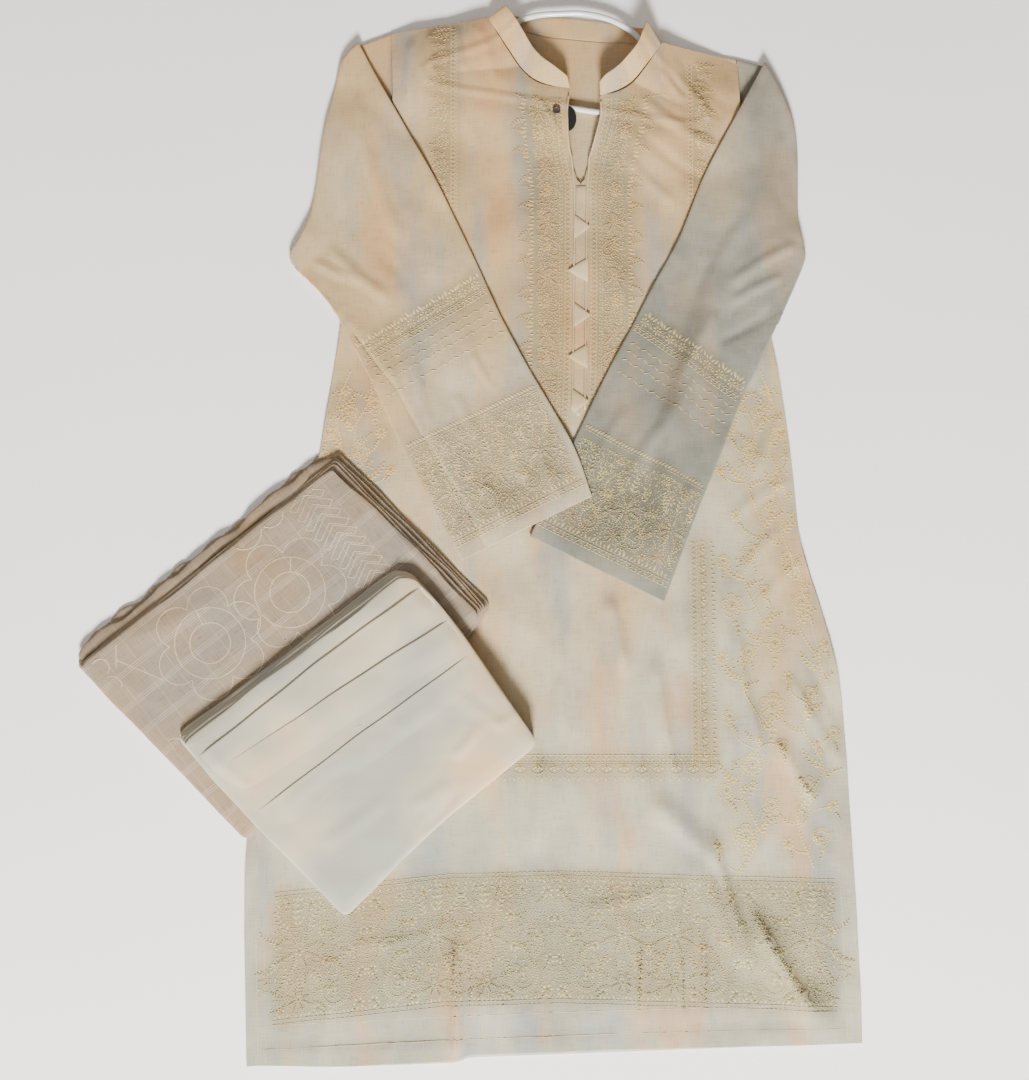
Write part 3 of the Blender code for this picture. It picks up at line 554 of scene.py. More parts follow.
THREAD_PITCH = 0.9


def woven_bump(tree, coordinate, pitch_mm, strength, slub=0.5):
    """Plain weave relief: warp and weft waves plus slubs stretched along each thread."""
    split = node(tree, "ShaderNodeSeparateXYZ", i0=coordinate)
    turns = 2 * np.pi / (pitch_mm * MM)
    waves = [calculated(tree, "SINE", calculated(tree, "MULTIPLY", split.outputs[axis], turns))
             for axis in ("X", "Y")]
    slubs = []
    for stretch in ((900.0, 60.0, 1.0), (60.0, 900.0, 1.0)):
        mapping = node(tree, "ShaderNodeMapping", {"Scale": stretch}, Vector=coordinate)
        slubs.append(noise(tree, mapping.outputs[0], 1.0))
    both = calculated(tree, "ADD", *slubs)
    relief = calculated(tree, "MULTIPLY_ADD", both, 4.0 * slub, calculated(tree, "ADD", *waves))
    bump = node(tree, "ShaderNodeBump", {"Strength": strength, "Distance": 0.00025}, Height=relief)
    return bump, both


# Painted shade (grey) and painted highlight (peach) in soft patches over the cotton: stretch across
# and along, noise range, colour, strength
SHADE_AND_HIGHLIGHT_PATCHES = (
    ((24.0, 4.0, 1.0), 0.50, 0.64, "#8f9698", 0.55),
    ((17.0, 5.0, 1.0), 0.53, 0.66, "#d29e66", 0.52),
)


def kameez_cotton(name, stops, tint, painted_light_share=1.0):
    """Cotton-silk cloth, woven and pressed: matt, with a painted cast of light, warm at the yoke
    and greyer at the hem.

    Soft patches paint shade and highlight on it, and under the embroidery painted shade darkens the
    ground towards the tint.
    """
    material, tree, output, place = start_material(name)
    split = node(tree, "ShaderNodeSeparateXYZ", i0=place)
    # Painted light cast: the colour runs from grey at the hem to warm at the yoke
    height = in_range(tree, split.outputs["Y"], -0.53, 0.53)
    stretched = node(tree, "ShaderNodeMapping", {"Scale": (9.0, 4.0, 1.0)}, Vector=place)
    blotch = noise(tree, stretched.outputs[0], 1.0, 3.0)
    spread = calculated(tree, "MULTIPLY_ADD", blotch, 1.5, height)
    colour = ramp(tree, calculated(tree, "MULTIPLY", spread, 0.5), stops)
    # Painted shade and painted highlight patches
    for number, (stretch, low, high, patch, strength) in enumerate(SHADE_AND_HIGHLIGHT_PATCHES):
        shifted = node(tree, "ShaderNodeMapping", {
            "Scale": stretch, "Location": (3.0 * number, 1.7, 0.0)}, Vector=place)
        share = in_range(tree, noise(tree, shifted.outputs[0], 1.0, 3.0), low, high)
        colour = mixed_colour(tree, share, colour, patch, strength * painted_light_share)
    # Painted shade under the embroidery darkens the ground towards the tint
    stitch_shade = node(tree, "ShaderNodeAttribute", {"attribute_name": "stitch_shade"})
    ground = mixed_colour(tree, stitch_shade.outputs["Fac"], colour, tint, 0.62)
    bump, slubs = woven_bump(tree, place, THREAD_PITCH, 0.35)
    slub_shade = ramp(tree, slubs, ((0.7, "#ebe6dc"), (1.3, "#ffffff")))
    cloth = mixed_colour(tree, None, ground, slub_shade, 1.0, "MULTIPLY")
    shader = node(tree, "ShaderNodeBsdfPrincipled", {
        "Roughness": 0.62, "Sheen Weight": 0.2, "Sheen Roughness": 0.5, "IOR": 1.46,
        "Specular IOR Level": 0.4}, Base_Color=cloth, Normal=bump.outputs[0])
    tree.links.new(shader.outputs[0], output.inputs["Surface"])
    return material


def plain_cloth(name, stops, pitch_mm=0.9, strength=0.3, roughness=0.85, noise_scale=9.0):
    """Plain woven cloth: two or more close colours in soft blotches, with thread relief."""
    material, tree, output, place = start_material(name)
    colour = ramp(tree, noise(tree, place, noise_scale, 3.0), stops)
    bump, _ = woven_bump(tree, place, pitch_mm, strength)
    shader = node(tree, "ShaderNodeBsdfPrincipled", {
        "Roughness": roughness, "Sheen Weight": 0.15, "IOR": 1.46, "Specular IOR Level": 0.35},
        Base_Color=colour, Normal=bump.outputs[0])
    tree.links.new(shader.outputs[0], output.inputs["Surface"])
    return material


def moulded_plastic(name, colour, roughness, coat):
    """Smooth moulded plastic: even colour with a clear, sharp highlight."""
    material, tree, output, place = start_material(name)
    rough = node(tree, "ShaderNodeMapRange", {"To Min": roughness, "To Max": roughness + 0.12},
                 i0=noise(tree, place, 60.0))
    shader = node(tree, "ShaderNodeBsdfPrincipled", {
        "Base Color": linear(colour), "IOR": 1.49, "Coat Weight": coat},
        Roughness=rough.outputs[0])
    tree.links.new(shader.outputs[0], output.inputs["Surface"])
    return material


# Kameez cotton; its last colour is the painted shade under the embroidery
COTTON = kameez_cotton("pressed cotton weave", (
    (0.36, "#a2a291"), (0.48, "#b5b19b"), (0.60, "#bfb497"), (0.76, "#bfa57a"), (0.92, "#c4a274")),
    "#7b7350")
# A darker, greyer copy of the cotton for the right sleeve: painted shade over the whole sleeve,
# with weaker painted shade and highlight patches and a darker painted shade under its embroidery
SHADED_SLEEVE_COTTON = kameez_cotton("pressed cotton weave, painted shade", (
    (0.58, "#7f8076"), (0.68, "#7f8075"), (0.78, "#8f8b7e"), (0.90, "#a89b80")), "#5f5d48", 0.35)
PIPING_CLOTH = plain_cloth("bias piping, pale sateen", ((0.4, "#c0a980"), (0.6, "#cab592")),
                           0.6, 0.2, 0.6)
SALWAR_CLOTH = plain_cloth("plain pressed cotton", (
    (0.37, "#a8aa9e"), (0.5, "#c3b9a0"), (0.62, "#d3b991")), noise_scale=7.0)
HANGER_PLASTIC = moulded_plastic("moulded translucent white plastic", "#d9dee0", 0.12, 0.4)
BUTTON_PLASTIC = moulded_plastic("pressed dark button", "#3c3631", 0.35, 0.3)
LABEL_CLOTH = plain_cloth("black tape label", ((0.4, "#0b0b0c"), (0.6, "#121214")), 0.6, 0.2)


# Cloth panels

BODY_ROWS = 260
BODY_COLUMNS = 88
# The rows and columns next to an edge stand close to it, so that the cloth turns sharply there
EDGE_STATION = 0.012
TOP_EDGE_STATION = LAST_SECTION - 0.02
EDGE_SHARE = 0.003
# The slit's lower end is square: stations where this starts and fades, and half its width more, mm
SLIT_SQUARE_START = (SLIT_END_SECTION, SLIT_END_SECTION + 0.1)
SLIT_SQUARE_END = (SLIT_END_SECTION + 0.3, SLIT_END_SECTION + 1.6)
SLIT_SQUARE_WIDTH = 3.2


def body_grid(rows_count, columns, split_station):
    """Plan of a body panel: rows of the section curves, two halves joined below the split."""
    stations = np.linspace(0, LAST_SECTION, rows_count)
    stations[1], stations[-2] = EDGE_STATION, TOP_EDGE_STATION
    rows = spline(SECTIONS, stations)
    square = smoothstep(stations, *SLIT_SQUARE_START) * (1 - smoothstep(stations, *SLIT_SQUARE_END))
    rows[:, 2] -= SLIT_SQUARE_WIDTH * square
    rows[:, 4] += SLIT_SQUARE_WIDTH * square
    share = np.linspace(0, 1, columns)[:, None]
    share[1], share[-2] = EDGE_SHARE, 1 - EDGE_SHARE
    left = rows[:, None, 0:2] * (1 - share) + rows[:, None, 2:4] * share
    right = rows[:, None, 4:6] * (1 - share) + rows[:, None, 6:8] * share
    points = np.concatenate([left, right], axis=1).reshape(-1, 2)
    numbers = np.arange(len(points)).reshape(len(rows), -1)
    joined = stations <= split_station
    numbers[joined, columns] = numbers[joined, columns - 1]
    quads = np.vstack([grid_faces(numbers[:, :columns]), grid_faces(numbers[:, columns:])])
    used, new = np.unique(quads, return_inverse=True)
    plan = points[used]
    plan[:, 1] += hem_shift(plan[:, 0], plan[:, 1])
    return plan, new.reshape(-1, 4)


def make_front(tint):
    """Front panel: section rows lifted by hanger, folds, creases and swell, as a closed wall."""
    plan, quads = body_grid(BODY_ROWS, BODY_COLUMNS, SLIT_END_SECTION)
    lift = front_lift(plan[:, 0], plan[:, 1])
    outer = with_height(plan, FRONT_TOP + lift)
    inner = with_height(plan, FRONT_TOP - WALL + lift)
    points, faces = wall_body(outer, inner, quads)
    piece = make_mesh("front_cloth", points, faces, COTTON, "front",
                      np.vstack([plan, plan]), tint)
    declare_sheet(piece, 0.62, 1.07)


def make_back():
    """Back panel flat on the floor: a patch between side seams, hem and high neckline."""
    rows = spline(SECTIONS, np.linspace(0, LAST_SECTION, 120))
    left, right = rows[:, 0:2], rows[:, 6:8]
    top = spline(COLLAR[5:14, :2], np.linspace(0, 8, 77))
    top = np.vstack([left[-1:], top, right[-1:]])
    bottom_share = np.linspace(0, 1, len(top))[:, None]
    bottom = left[:1] * (1 - bottom_share) + right[:1] * bottom_share
    share = np.linspace(0, 1, len(left))[:, None, None]
    across = np.linspace(0, 1, len(top))[None, :, None]
    sides = left[:, None] * (1 - across) + right[:, None] * across
    ends = (1 - share) * bottom[None] + share * top[None]
    corners = ((1 - share) * ((1 - across) * left[0] + across * right[0])
               + share * ((1 - across) * left[-1] + across * right[-1]))
    plan = (sides + ends - corners).reshape(-1, 2)
    plan[:, 1] += hem_shift(plan[:, 0], plan[:, 1])
    quads = grid_faces(np.arange(len(plan)).reshape(len(left), -1))
    wave = 0.25 * (1 + np.sin(plan[:, 0] * 0.031) * np.sin(plan[:, 1] * 0.023))
    upper = with_height(plan, WALL - 0.1 + 0.4 * wave)
    points, faces = wall_body(upper, with_height(plan, 0.0), quads)
    piece = make_mesh("back_cloth", points, faces, COTTON, "back",
                      np.vstack([plan, plan]))
    declare_sheet(piece, 0.62, 1.07)


SLEEVE_ROWS = 118
SLEEVE_COLUMNS = 56
FOLD_STEPS = 12


def cuff_over_cuff(x, y):
    """Rise of the left cuff where it crosses the right sleeve's inner edge."""
    start, end = RIGHT_SLEEVE[2, :2], RIGHT_SLEEVE[0, :2]
    dx, dy = end - start
    length = np.hypot(dx, dy)
    beyond = -((x - start[0]) * dy - (y - start[1]) * dx) / length
    return CUFF_LIFT * smoothstep(beyond, *CUFF_LIFT_RUN)


def no_lift(x, y):
    """No rise over another piece."""
    return np.zeros(np.shape(x))


def seam_side(x, y):
    """Distance from the left sleeve's seam, positive on the side of the sleeve's middle."""
    return (x - np.interp(y, SLEEVE_SEAM[:, 1], SLEEVE_SEAM[:, 0])) * 0.83


def left_lift(x, y):
    """Rise of the left sleeve over the right cuff, and its step down across the seam."""
    side = seam_side(x, y)
    step = smoothstep(side, -0.5, 0.5) * (1 - smoothstep(side, 12.0, 55.0))
    groove = 0.7 * np.exp(-(side / 1.6)**2)
    run = 1 - smoothstep(y, 205.0, 236.0)
    return cuff_over_cuff(x, y) + (SEAM_STEP * step - groove) * run


def front_nearby(x, y):
    """Highest lift of the front at a place and 9 mm round it."""
    shifts = ((0, 0), (9, 0), (-9, 0), (0, 9), (0, -9))
    return np.max([front_lift(x + a, y + b) for a, b in shifts], axis=0)


def sleeve_height(x, y, extra):
    """Height of a sleeve's middle surface on top of the front, with its own creases."""
    creases = ridge_sum(x, y, SLEEVE_CREASES) * CREASE_STRENGTH
    uneven = swell(x, y, SWELL_LENGTHS, 0.13, RANDOM_SEED + 2) + swell(x, y, (14.0, 40.0), 0.035, 7)
    folded = np.maximum(creases + uneven, -0.6)
    return SLEEVE_MIDDLE + 0.4 + front_nearby(x, y) + folded + extra(x, y)


def columns_along_seam(edges, share):
    """Column places of each row, moved so that two close columns run down the pressed seam."""
    fine = np.linspace(0.5, 1.0, 200)
    line = edges[:, None, 0:2] * (1 - fine[:, None]) + edges[:, None, 2:4] * fine[:, None]
    side = seam_side(line[..., 0], line[..., 1])
    at = fine[np.argmax(side < 0, axis=1)]
    column = int(0.82 * share.shape[1])
    crossing = np.clip(np.where(side.min(axis=1) < 0, at, 0.985), 0.6, 0.985)
    even = share[0, column]
    keep = 1 - smoothstep(line[:, -1, 1], 200.0, 231.0)
    crossing = crossing * keep + even * (1 - keep)
    ahead = share[:, :column] / share[0, column - 1] * (crossing - 0.004)[:, None]
    rest = (share[:, column:] - even) / (1 - even)
    beyond = crossing[:, None] + 0.004 + rest * (1 - crossing - 0.004)[:, None]
    return np.hstack([ahead, beyond])


def sleeve_tube(rows, outline, side, extra):
    """Middle surface of a flattened sleeve: over the front, round the fold, back under it."""
    fine = np.linspace(ARMHOLE_SECTION, LAST_SECTION, SLEEVE_COLUMNS)[::-1]
    section = spline(SECTIONS, fine)
    armhole = section[:, 0:2] if side < 0 else section[:, 6:8]
    armhole = armhole - np.array([side * 0.6, 0.0])
    across = np.linspace(0, 1, SLEEVE_COLUMNS)
    stations = np.linspace(0, len(rows) - 1, SLEEVE_ROWS)
    stations[1] = EDGE_STATION
    edges = spline(rows, stations)
    share = np.repeat(across[None], SLEEVE_ROWS, axis=0)
    if side < 0:
        share = columns_along_seam(edges, share)
    straight = edges[:, None, 0:2] * (1 - share[..., None]) + edges[:, None, 2:4] * share[..., None]
    fold = spline(outline, across * (len(outline) - 1))
    bulge = smoothstep(np.linspace(0, 1, SLEEVE_ROWS), 1 - SLEEVE_BULGE_REACH, 1.0)[:, None, None]
    over = straight + bulge * (fold - straight[-1])
    outward = over[-1] - over[-2]
    outward = outward / np.linalg.norm(outward, axis=1)[:, None]
    low = WALL + GAP / 2
    high = sleeve_height(over[..., 0], over[..., 1], extra)
    edge_high = high[-1]
    middle = [np.dstack([over, high])]
    for angle in np.linspace(0, np.pi, FOLD_STEPS + 2)[1:]:
        radius = (edge_high - low) / 2
        plan = fold + outward * (radius * np.sin(angle))[:, None] * 0.8
        height = low + radius * (1 + np.cos(angle))
        middle.append(np.dstack([plan[None], height[None]]))
    for share in np.linspace(0.1, 1.0, 8):
        plan = fold * (1 - share) + armhole * share
        middle.append(np.dstack([plan[None], np.full((1, len(plan)), low)]))
    return np.vstack(middle)


def make_sleeve(name, node_name, rows, outline, side, extra, tint, cloth):
    """Sleeve as one closed tube wall round its middle surface, open at cuff and armhole."""
    middle = sleeve_tube(rows, outline, side, extra)
    along = np.gradient(middle, axis=0)
    across = np.gradient(middle, axis=1)
    across /= np.linalg.norm(across, axis=2)[..., None]
    normal = np.cross(along, across) * -side
    normal /= np.linalg.norm(normal, axis=2)[..., None]
    sheets = []
    for reach in (GAP / 2 + WALL, GAP / 2):
        bend = [(-across[:, :1] * np.cos(a) + normal[:, :1] * np.sin(a)) * reach + middle[:, :1]
                for a in (-0.8, 0.0, 0.8)]
        far = [(across[:, -1:] * np.cos(a) + normal[:, -1:] * np.sin(a)) * reach + middle[:, -1:]
               for a in (0.8, 0.0, -0.8)]
        sheets.append(np.concatenate(
            [middle + normal * reach] + far + [(middle - normal * reach)[:, ::-1]] + bend, axis=1))
    outer, inner = sheets
    quads = grid_faces(ring_numbers(outer.shape[0], outer.shape[1]))
    if side < 0:
        quads = quads[:, ::-1]
    points, faces = wall_body(outer.reshape(-1, 3), inner.reshape(-1, 3), quads)
    length = np.linalg.norm(np.diff(middle[:, SLEEVE_COLUMNS // 2], axis=0), axis=1).sum()
    width = np.linalg.norm(np.diff(middle, axis=1), axis=2).sum(axis=1).max() * 2
    plan = np.vstack([outer.reshape(-1, 3), inner.reshape(-1, 3)])[:, :2]
    piece = make_mesh(name, points, faces, cloth, node_name, plan, tint)
    declare_sheet(piece, round(width * MM + 0.02, 3), round(length * MM + 0.04, 3))


def make_collar():
    """Stand collar: rows from the neck seam up to a rolled free edge, open at the front."""
    stations = np.linspace(0, len(COLLAR) - 1, 10 * len(COLLAR))
    rows = spline(COLLAR, stations)
    for _ in range(14):
        rows[1:-1] = (rows[:-2] + 2 * rows[1:-1] + rows[2:]) / 4
    back_part = (smoothstep(stations, *COLLAR_BACK_START)
                 * (1 - smoothstep(stations, *COLLAR_BACK_END)))
    seat = front_top(rows[:, 0], rows[:, 1]) * (1 - back_part) + WALL * back_part
    base_z = np.maximum(seat - 0.5, COLLAR_WALL / 2 + 0.1)
    gathers = back_part * 0.5 * np.sin(stations * 14.0) * np.sin(stations * 5.3 + 1.0)
    outward = rows[:, :2] - rows[:, 2:4]
    outward = outward / np.linalg.norm(outward, axis=1)[:, None]
    base = np.column_stack([rows[:, :2] + 1.4 * outward * (1 - back_part)[:, None], base_z])
    top = np.column_stack([rows[:, 2:4], base_z + rows[:, 4] - 0.6])
    share = (0.5 - 0.5 * np.cos(np.linspace(0, np.pi, 12)))[None, :, None]
    middle = base[:, None] * (1 - share) + top[:, None] * share
    middle[..., 2] += (np.sin(share[..., 0] * np.pi) * (0.5 + gathers[:, None]))
    normal = np.cross(np.gradient(middle, axis=1), np.gradient(middle, axis=0))
    normal /= np.linalg.norm(normal, axis=2)[..., None]
    half = COLLAR_WALL / 2 * np.ones(12)
    half[-1] = 0.45
    half[-2] = 0.68
    offset = normal * half[None, :, None]
    count = middle.shape[0] * middle.shape[1]
    quads = grid_faces(np.arange(count).reshape(middle.shape[:2]))
    points, faces = wall_body((middle + offset).reshape(-1, 3),
                              (middle - offset).reshape(-1, 3), quads)
    piece = make_mesh("collar_band", points, faces, COTTON, "collar",
                      np.vstack([middle.reshape(-1, 3)[:, :2]] * 2))
    declare_sheet(piece, 0.48, 0.045)


def tube(line, radius, sides, closed=False):
    """Round tube along a line: a ring of points at each place, flat ends unless it closes."""
    line = np.asarray(line, float)
    if closed:
        along = np.roll(line, -1, axis=0) - np.roll(line, 1, axis=0)
    else:
        along = np.gradient(line, axis=0)
    along /= np.linalg.norm(along, axis=1)[:, None]
    aside = np.cross(along, (0.0, 0.0, 1.0))
    aside /= np.linalg.norm(aside, axis=1)[:, None]
    up = np.cross(aside, along)
    angle = np.arange(sides) * 2 * np.pi / sides
    reach = np.broadcast_to(radius, len(line))[:, None, None]
    ring = line[:, None] + reach * (np.cos(angle)[None, :, None] * aside[:, None]
                                    + np.sin(angle)[None, :, None] * up[:, None])
    numbers = ring_numbers(len(line), sides)
    if closed:
        numbers = np.vstack([numbers, numbers[:1]])
    quads = grid_faces(numbers)[:, ::-1]
    points = ring.reshape(-1, 3)
    if not closed:
        points = np.vstack([points, line[:1], line[-1:]])
        first, last = len(points) - 2, len(points) - 1
        low, high = numbers[0], numbers[-1]
        caps = [np.column_stack([low[:-1], low[1:], np.full((sides, 2), first)]),
                np.column_stack([high[1:], high[:-1], np.full((sides, 2), last)])]
        quads = np.vstack([quads] + caps)
    return points, quads


def make_hanger():
    """White hanger as one closed tube: neck arc, arms and bar."""
    closed = np.vstack([HANGER_LINE[-1:], HANGER_LINE, HANGER_LINE[:2]])
    stations = 1 + np.linspace(0, len(HANGER_LINE), 10 * len(HANGER_LINE) + 1)[:-1]
    points, quads = tube(spline(closed, stations), HANGER_RADIUS, 20, True)
    make_mesh("hanger_tube", points, quads, HANGER_PLASTIC, "hanger")


def slit_edge(left):
    """Plan of the piping along one edge of the slit and down that side of the placket."""
    rows = spline(SECTIONS, np.linspace(NECK_SECTION - 0.4, SLIT_END_SECTION + 0.75, 40))
    edge = rows[:, 2:4] if left else rows[:, 4:6]
    side = -1 if left else 1
    edge = edge + np.array([side * 1.2, 0.0])
    reach = PLACKET_HALF_WIDTH + GAP + PIPING_RADIUS
    share = np.linspace(0.03, 1.0, 40)[:, None]
    run = np.array(PLACKET_TOP) * (1 - share) + np.array(PLACKET_END) * share
    return np.vstack([edge, run + np.array([side * reach, 0.0])])


def make_piping(name, node_name, left):
    """Thin round piping lying on the front beside slit and placket."""
    plan = slit_edge(left)
    line = with_height(plan, front_top(plan[:, 0], plan[:, 1]) + GAP + PIPING_RADIUS)
    points, quads = tube(line, PIPING_RADIUS, 10)
    uv = points[:, :2]
    piece = make_mesh(name, points, quads, PIPING_CLOTH, node_name, uv)
    length = np.linalg.norm(np.diff(line, axis=0), axis=1).sum() * MM
    declare_sheet(piece, 0.01, round(length, 3))


def make_placket():
    """Strip between the two pipings, pointed at its lower end."""
    share = np.concatenate([[0.0, 0.001], np.linspace(0.004, 1.0, 68)])[:, None]
    centre = np.array(PLACKET_TOP) * (1 - share) + np.array(PLACKET_END) * share
    centre = np.vstack([centre, np.array(PLACKET_END) - [(0.0, 3.0), (0.0, 6.0)]])
    half = np.full(len(centre), PLACKET_HALF_WIDTH)
    half[-2:] = (3.2, 0.8)
    across = np.linspace(1, -1, 7)
    plan = centre[:, None] + np.stack([across * half[:, None], 0 * across * half[:, None]], axis=-1)
    plan = plan.reshape(-1, 2)
    rise = 0.1 + 0.9 * np.repeat(smoothstep(np.arange(len(centre)), -1.0, 4.0), 7)
    base = front_top(plan[:, 0], plan[:, 1]) + GAP * rise
    quads = grid_faces(np.arange(len(plan)).reshape(-1, 7))
    points, faces = wall_body(with_height(plan, base + PLACKET_WALL * rise),
                              with_height(plan, base), quads)
    piece = make_mesh("placket_strip", points, faces, COTTON, "placket",
                      np.vstack([plan, plan]))
    declare_sheet(piece, 0.012, 0.245)


def make_tab(number, apex_x, apex_y, base_x, low_y, high_y):
    """Triangle of doubled cloth: soft pillow between base and apex, lying over the placket."""
    share = np.sin(np.linspace(0, np.pi / 2, 14))[:, None]**2
    across = np.sin(np.linspace(-np.pi / 2, np.pi / 2, 17))[None, :]
    half = (high_y - low_y) / 2 * (1 - share)**0.9 + 0.35
    x = base_x + (apex_x - base_x) * share + 0 * across
    y = (low_y + high_y) / 2 + (apex_y - (low_y + high_y) / 2) * share + half * across
    puff = (1 - across**4) * np.sqrt(np.clip(1.02 - share, 0, 1)) * 0.9
    base = front_top(x, y) + GAP + PLACKET_WALL + 0.1
    outer = np.dstack([x, y, base + 0.75 + puff]).reshape(-1, 3)
    inner = np.dstack([x, y, base]).reshape(-1, 3)
    quads = grid_faces(np.arange(len(outer)).reshape(14, 17))
    if apex_x < base_x:
        quads = quads[:, ::-1]
    points, faces = wall_body(outer, inner, quads)
    piece = make_mesh(f"tab_cloth_{number}", points, faces, PIPING_CLOTH, f"tab_{number}",
                      points[:, :2])
    declare_sheet(piece, 0.024, 0.018)


def make_button():
    """Round button turned in one profile: foot, rolled rim, dished face."""
    base = float(front_top(np.array([BUTTON_PLACE[0]]), np.array([BUTTON_PLACE[1]]))[0]) + GAP + 0.2
    profile = ((0.0, 0.0), (3.2, 0.0), (3.9, 0.4), (4.0, 1.0), (3.95, 1.8), (3.6, 2.3), (3.2, 2.4),
               (2.8, 2.1), (2.4, 1.8), (1.2, 1.7), (0.0, 1.7))
    radius, height = np.array(profile)[1:-1].T
    angle = np.arange(40) * 2 * np.pi / 40
    rings = np.stack([BUTTON_PLACE[0] + radius[:, None] * np.cos(angle),
                      BUTTON_PLACE[1] + radius[:, None] * np.sin(angle),
                      np.broadcast_to((base + height)[:, None], (len(radius), 40))], axis=-1)
    points = np.vstack([rings.reshape(-1, 3), [(*BUTTON_PLACE, base), (*BUTTON_PLACE, base + 1.7)]])
    quads = capped(ring_numbers(len(radius), 40), len(points) - 2, len(points) - 1)
    make_mesh("button_disc", points, quads, BUTTON_PLASTIC, "button")


def make_label():
    """Black half oval lying on the hanger's bar behind the slit."""
    share = np.linspace(0.04, 1, 8)[:, None]
    angle = np.linspace(-np.pi / 2, np.pi / 2, 25)[None, :]
    plan = np.stack([LABEL_PLACE[0] + LABEL_WIDTH * share * np.cos(angle),
                     LABEL_PLACE[1] + LABEL_HALF_HEIGHT * share * np.sin(angle)], axis=-1)
    plan = plan.reshape(-1, 2)
    base = 4.5 + HANGER_RADIUS + GAP / 3
    quads = grid_faces(np.arange(len(plan)).reshape(8, 25))
    points, faces = wall_body(with_height(plan, base + 0.4), with_height(plan, base),
                              quads[:, ::-1])
    piece = make_mesh("label_tape", points, faces, LABEL_CLOTH, "label")
    declare_sheet(piece, 0.012, 0.028)


# Folded piles


def rounded_outline(corners, spacing=4.0, arc_points=9):
    """Closed outline, anticlockwise: straight runs with a round corner of each stated radius."""
    corners = np.asarray(corners, float)
    outline = []
    for i, (x, y, radius) in enumerate(corners):
        here = np.array([x, y])
        before = corners[i - 1, :2] - here
        after = corners[(i + 1) % len(corners), :2] - here
        cut_before = here + before / np.linalg.norm(before) * radius
        cut_after = here + after / np.linalg.norm(after) * radius
        t = np.linspace(0, 1, arc_points)[:, None]
        outline.append((1 - t)**2 * cut_before + 2 * t * (1 - t) * here + t**2 * cut_after)
        following = corners[(i + 1) % len(corners)]
        run_end = following[:2] - after / np.linalg.norm(after) * following[2]
        steps = max(int(np.linalg.norm(run_end - cut_after) / spacing), 1)
        share = np.linspace(0, 1, steps + 1)[1:-1, None]
        outline.append(cut_after * (1 - share) + run_end * share)
    return np.vstack(outline)


def inside_distance(x, y, outline):
    """Distance to an outline, positive inside it and negative outside."""
    crossings = np.zeros(np.shape(x), int)
    following = np.roll(outline, -1, axis=0)
    for (x0, y0), (x1, y1) in zip(outline, following):
        between = (y0 > y) != (y1 > y)
        slope = (x1 - x0) / (y1 - y0) if y1 != y0 else 0.0
        crossings += between & (x < x0 + (y - y0) * slope)
    distance = polyline_distance(x, y, outline)
    return np.where(crossings % 2 == 1, distance, -distance)


DUPATTA_OUTLINE = rounded_outline(DUPATTA_CORNERS, 12.0, 5)
SALWAR_OUTLINE = rounded_outline(SALWAR_CORNERS, 12.0, 5)
SIDE_LINE = SECTIONS[:, 0:2]


def kameez_ground(x, y):
    """Floor, rising to the top of the kameez inside its left side line."""
    edge = np.interp(y, SIDE_LINE[:, 1], SIDE_LINE[:, 0])
    return (front_top(x, y) + GAP) * smoothstep(x - edge, -9.0, -1.5)


def dupatta_top(x, y):
    """Top of the folded dupatta with its soft unevenness."""
    creases = ridge_sum(x, y, DUPATTA_CREASES)
    return DUPATTA_TOP - 0.6 + creases + swell(x, y, (40.0, 120.0), 0.1, 21)


def salwar_ground(x, y):
    """Underside of the salwar: on the dupatta where that lies below, else down to the kameez."""
    over = smoothstep(inside_distance(x, y, DUPATTA_OUTLINE), -14.0, -1.0)
    low = kameez_ground(x, y)
    return low + (DUPATTA_TOP + 0.9 - low) * over


def salwar_top(x, y):
    """Top of the folded salwar with its soft unevenness."""
    creases = ridge_sum(x, y, SALWAR_CREASES)
    return SALWAR_TOP - 2.6 + creases + swell(x, y, (40.0, 130.0), 0.12, 23)


# Creases of the folded piles: start x, y; end x, y; bow; half width; height or depth, mm
DUPATTA_CREASES = (
    (-170, 60, -60, -50, 2, 9, 0.7),
    (-215, 40, -170, -20, 2, 8, 0.6),
    (-380, -100, -300, -60, 4, 14, 0.7),
    (-400, -130, -330, -170, 3, 12, 0.6),
    (-300, -30, -250, -80, 2, 14, 0.5),
)
SALWAR_CREASES = (
    (-60, -215, -30, -178, 2, 9, 1.2),
    (-104, -262, -64, -240, 3, 11, 1.1),
    (-90, -285, -50, -240, 2, 8, -0.9),
    (-130, -330, -95, -290, 3, 11, 1.1),
    (-190, -300, -120, -250, 3, 12, 0.9),
    (-215, -270, -150, -220, -3, 12, -0.7),
    (-20, -185, 5, -170, 1, 8, 0.9),
    (-60, -150, 0, -190, 3, 12, 0.7),
    (-120, -190, -70, -160, 3, 14, 0.7),
    (-290, -215, -250, -245, 2, 9, 0.8),
)


def crown_share(inset):
    """Share of a pile's height that its top reaches at an inset from the outline."""
    return 0.92 + 0.08 * np.clip((inset - 2.2) / 13.0, 0, 1)**0.45


def salwar_surface(x, y):
    """Upper side of the salwar, rounded down towards its outline."""
    low = salwar_ground(x, y)
    inset = inside_distance(x, y, SALWAR_OUTLINE)
    return low + (salwar_top(x, y) - low) * crown_share(inset)


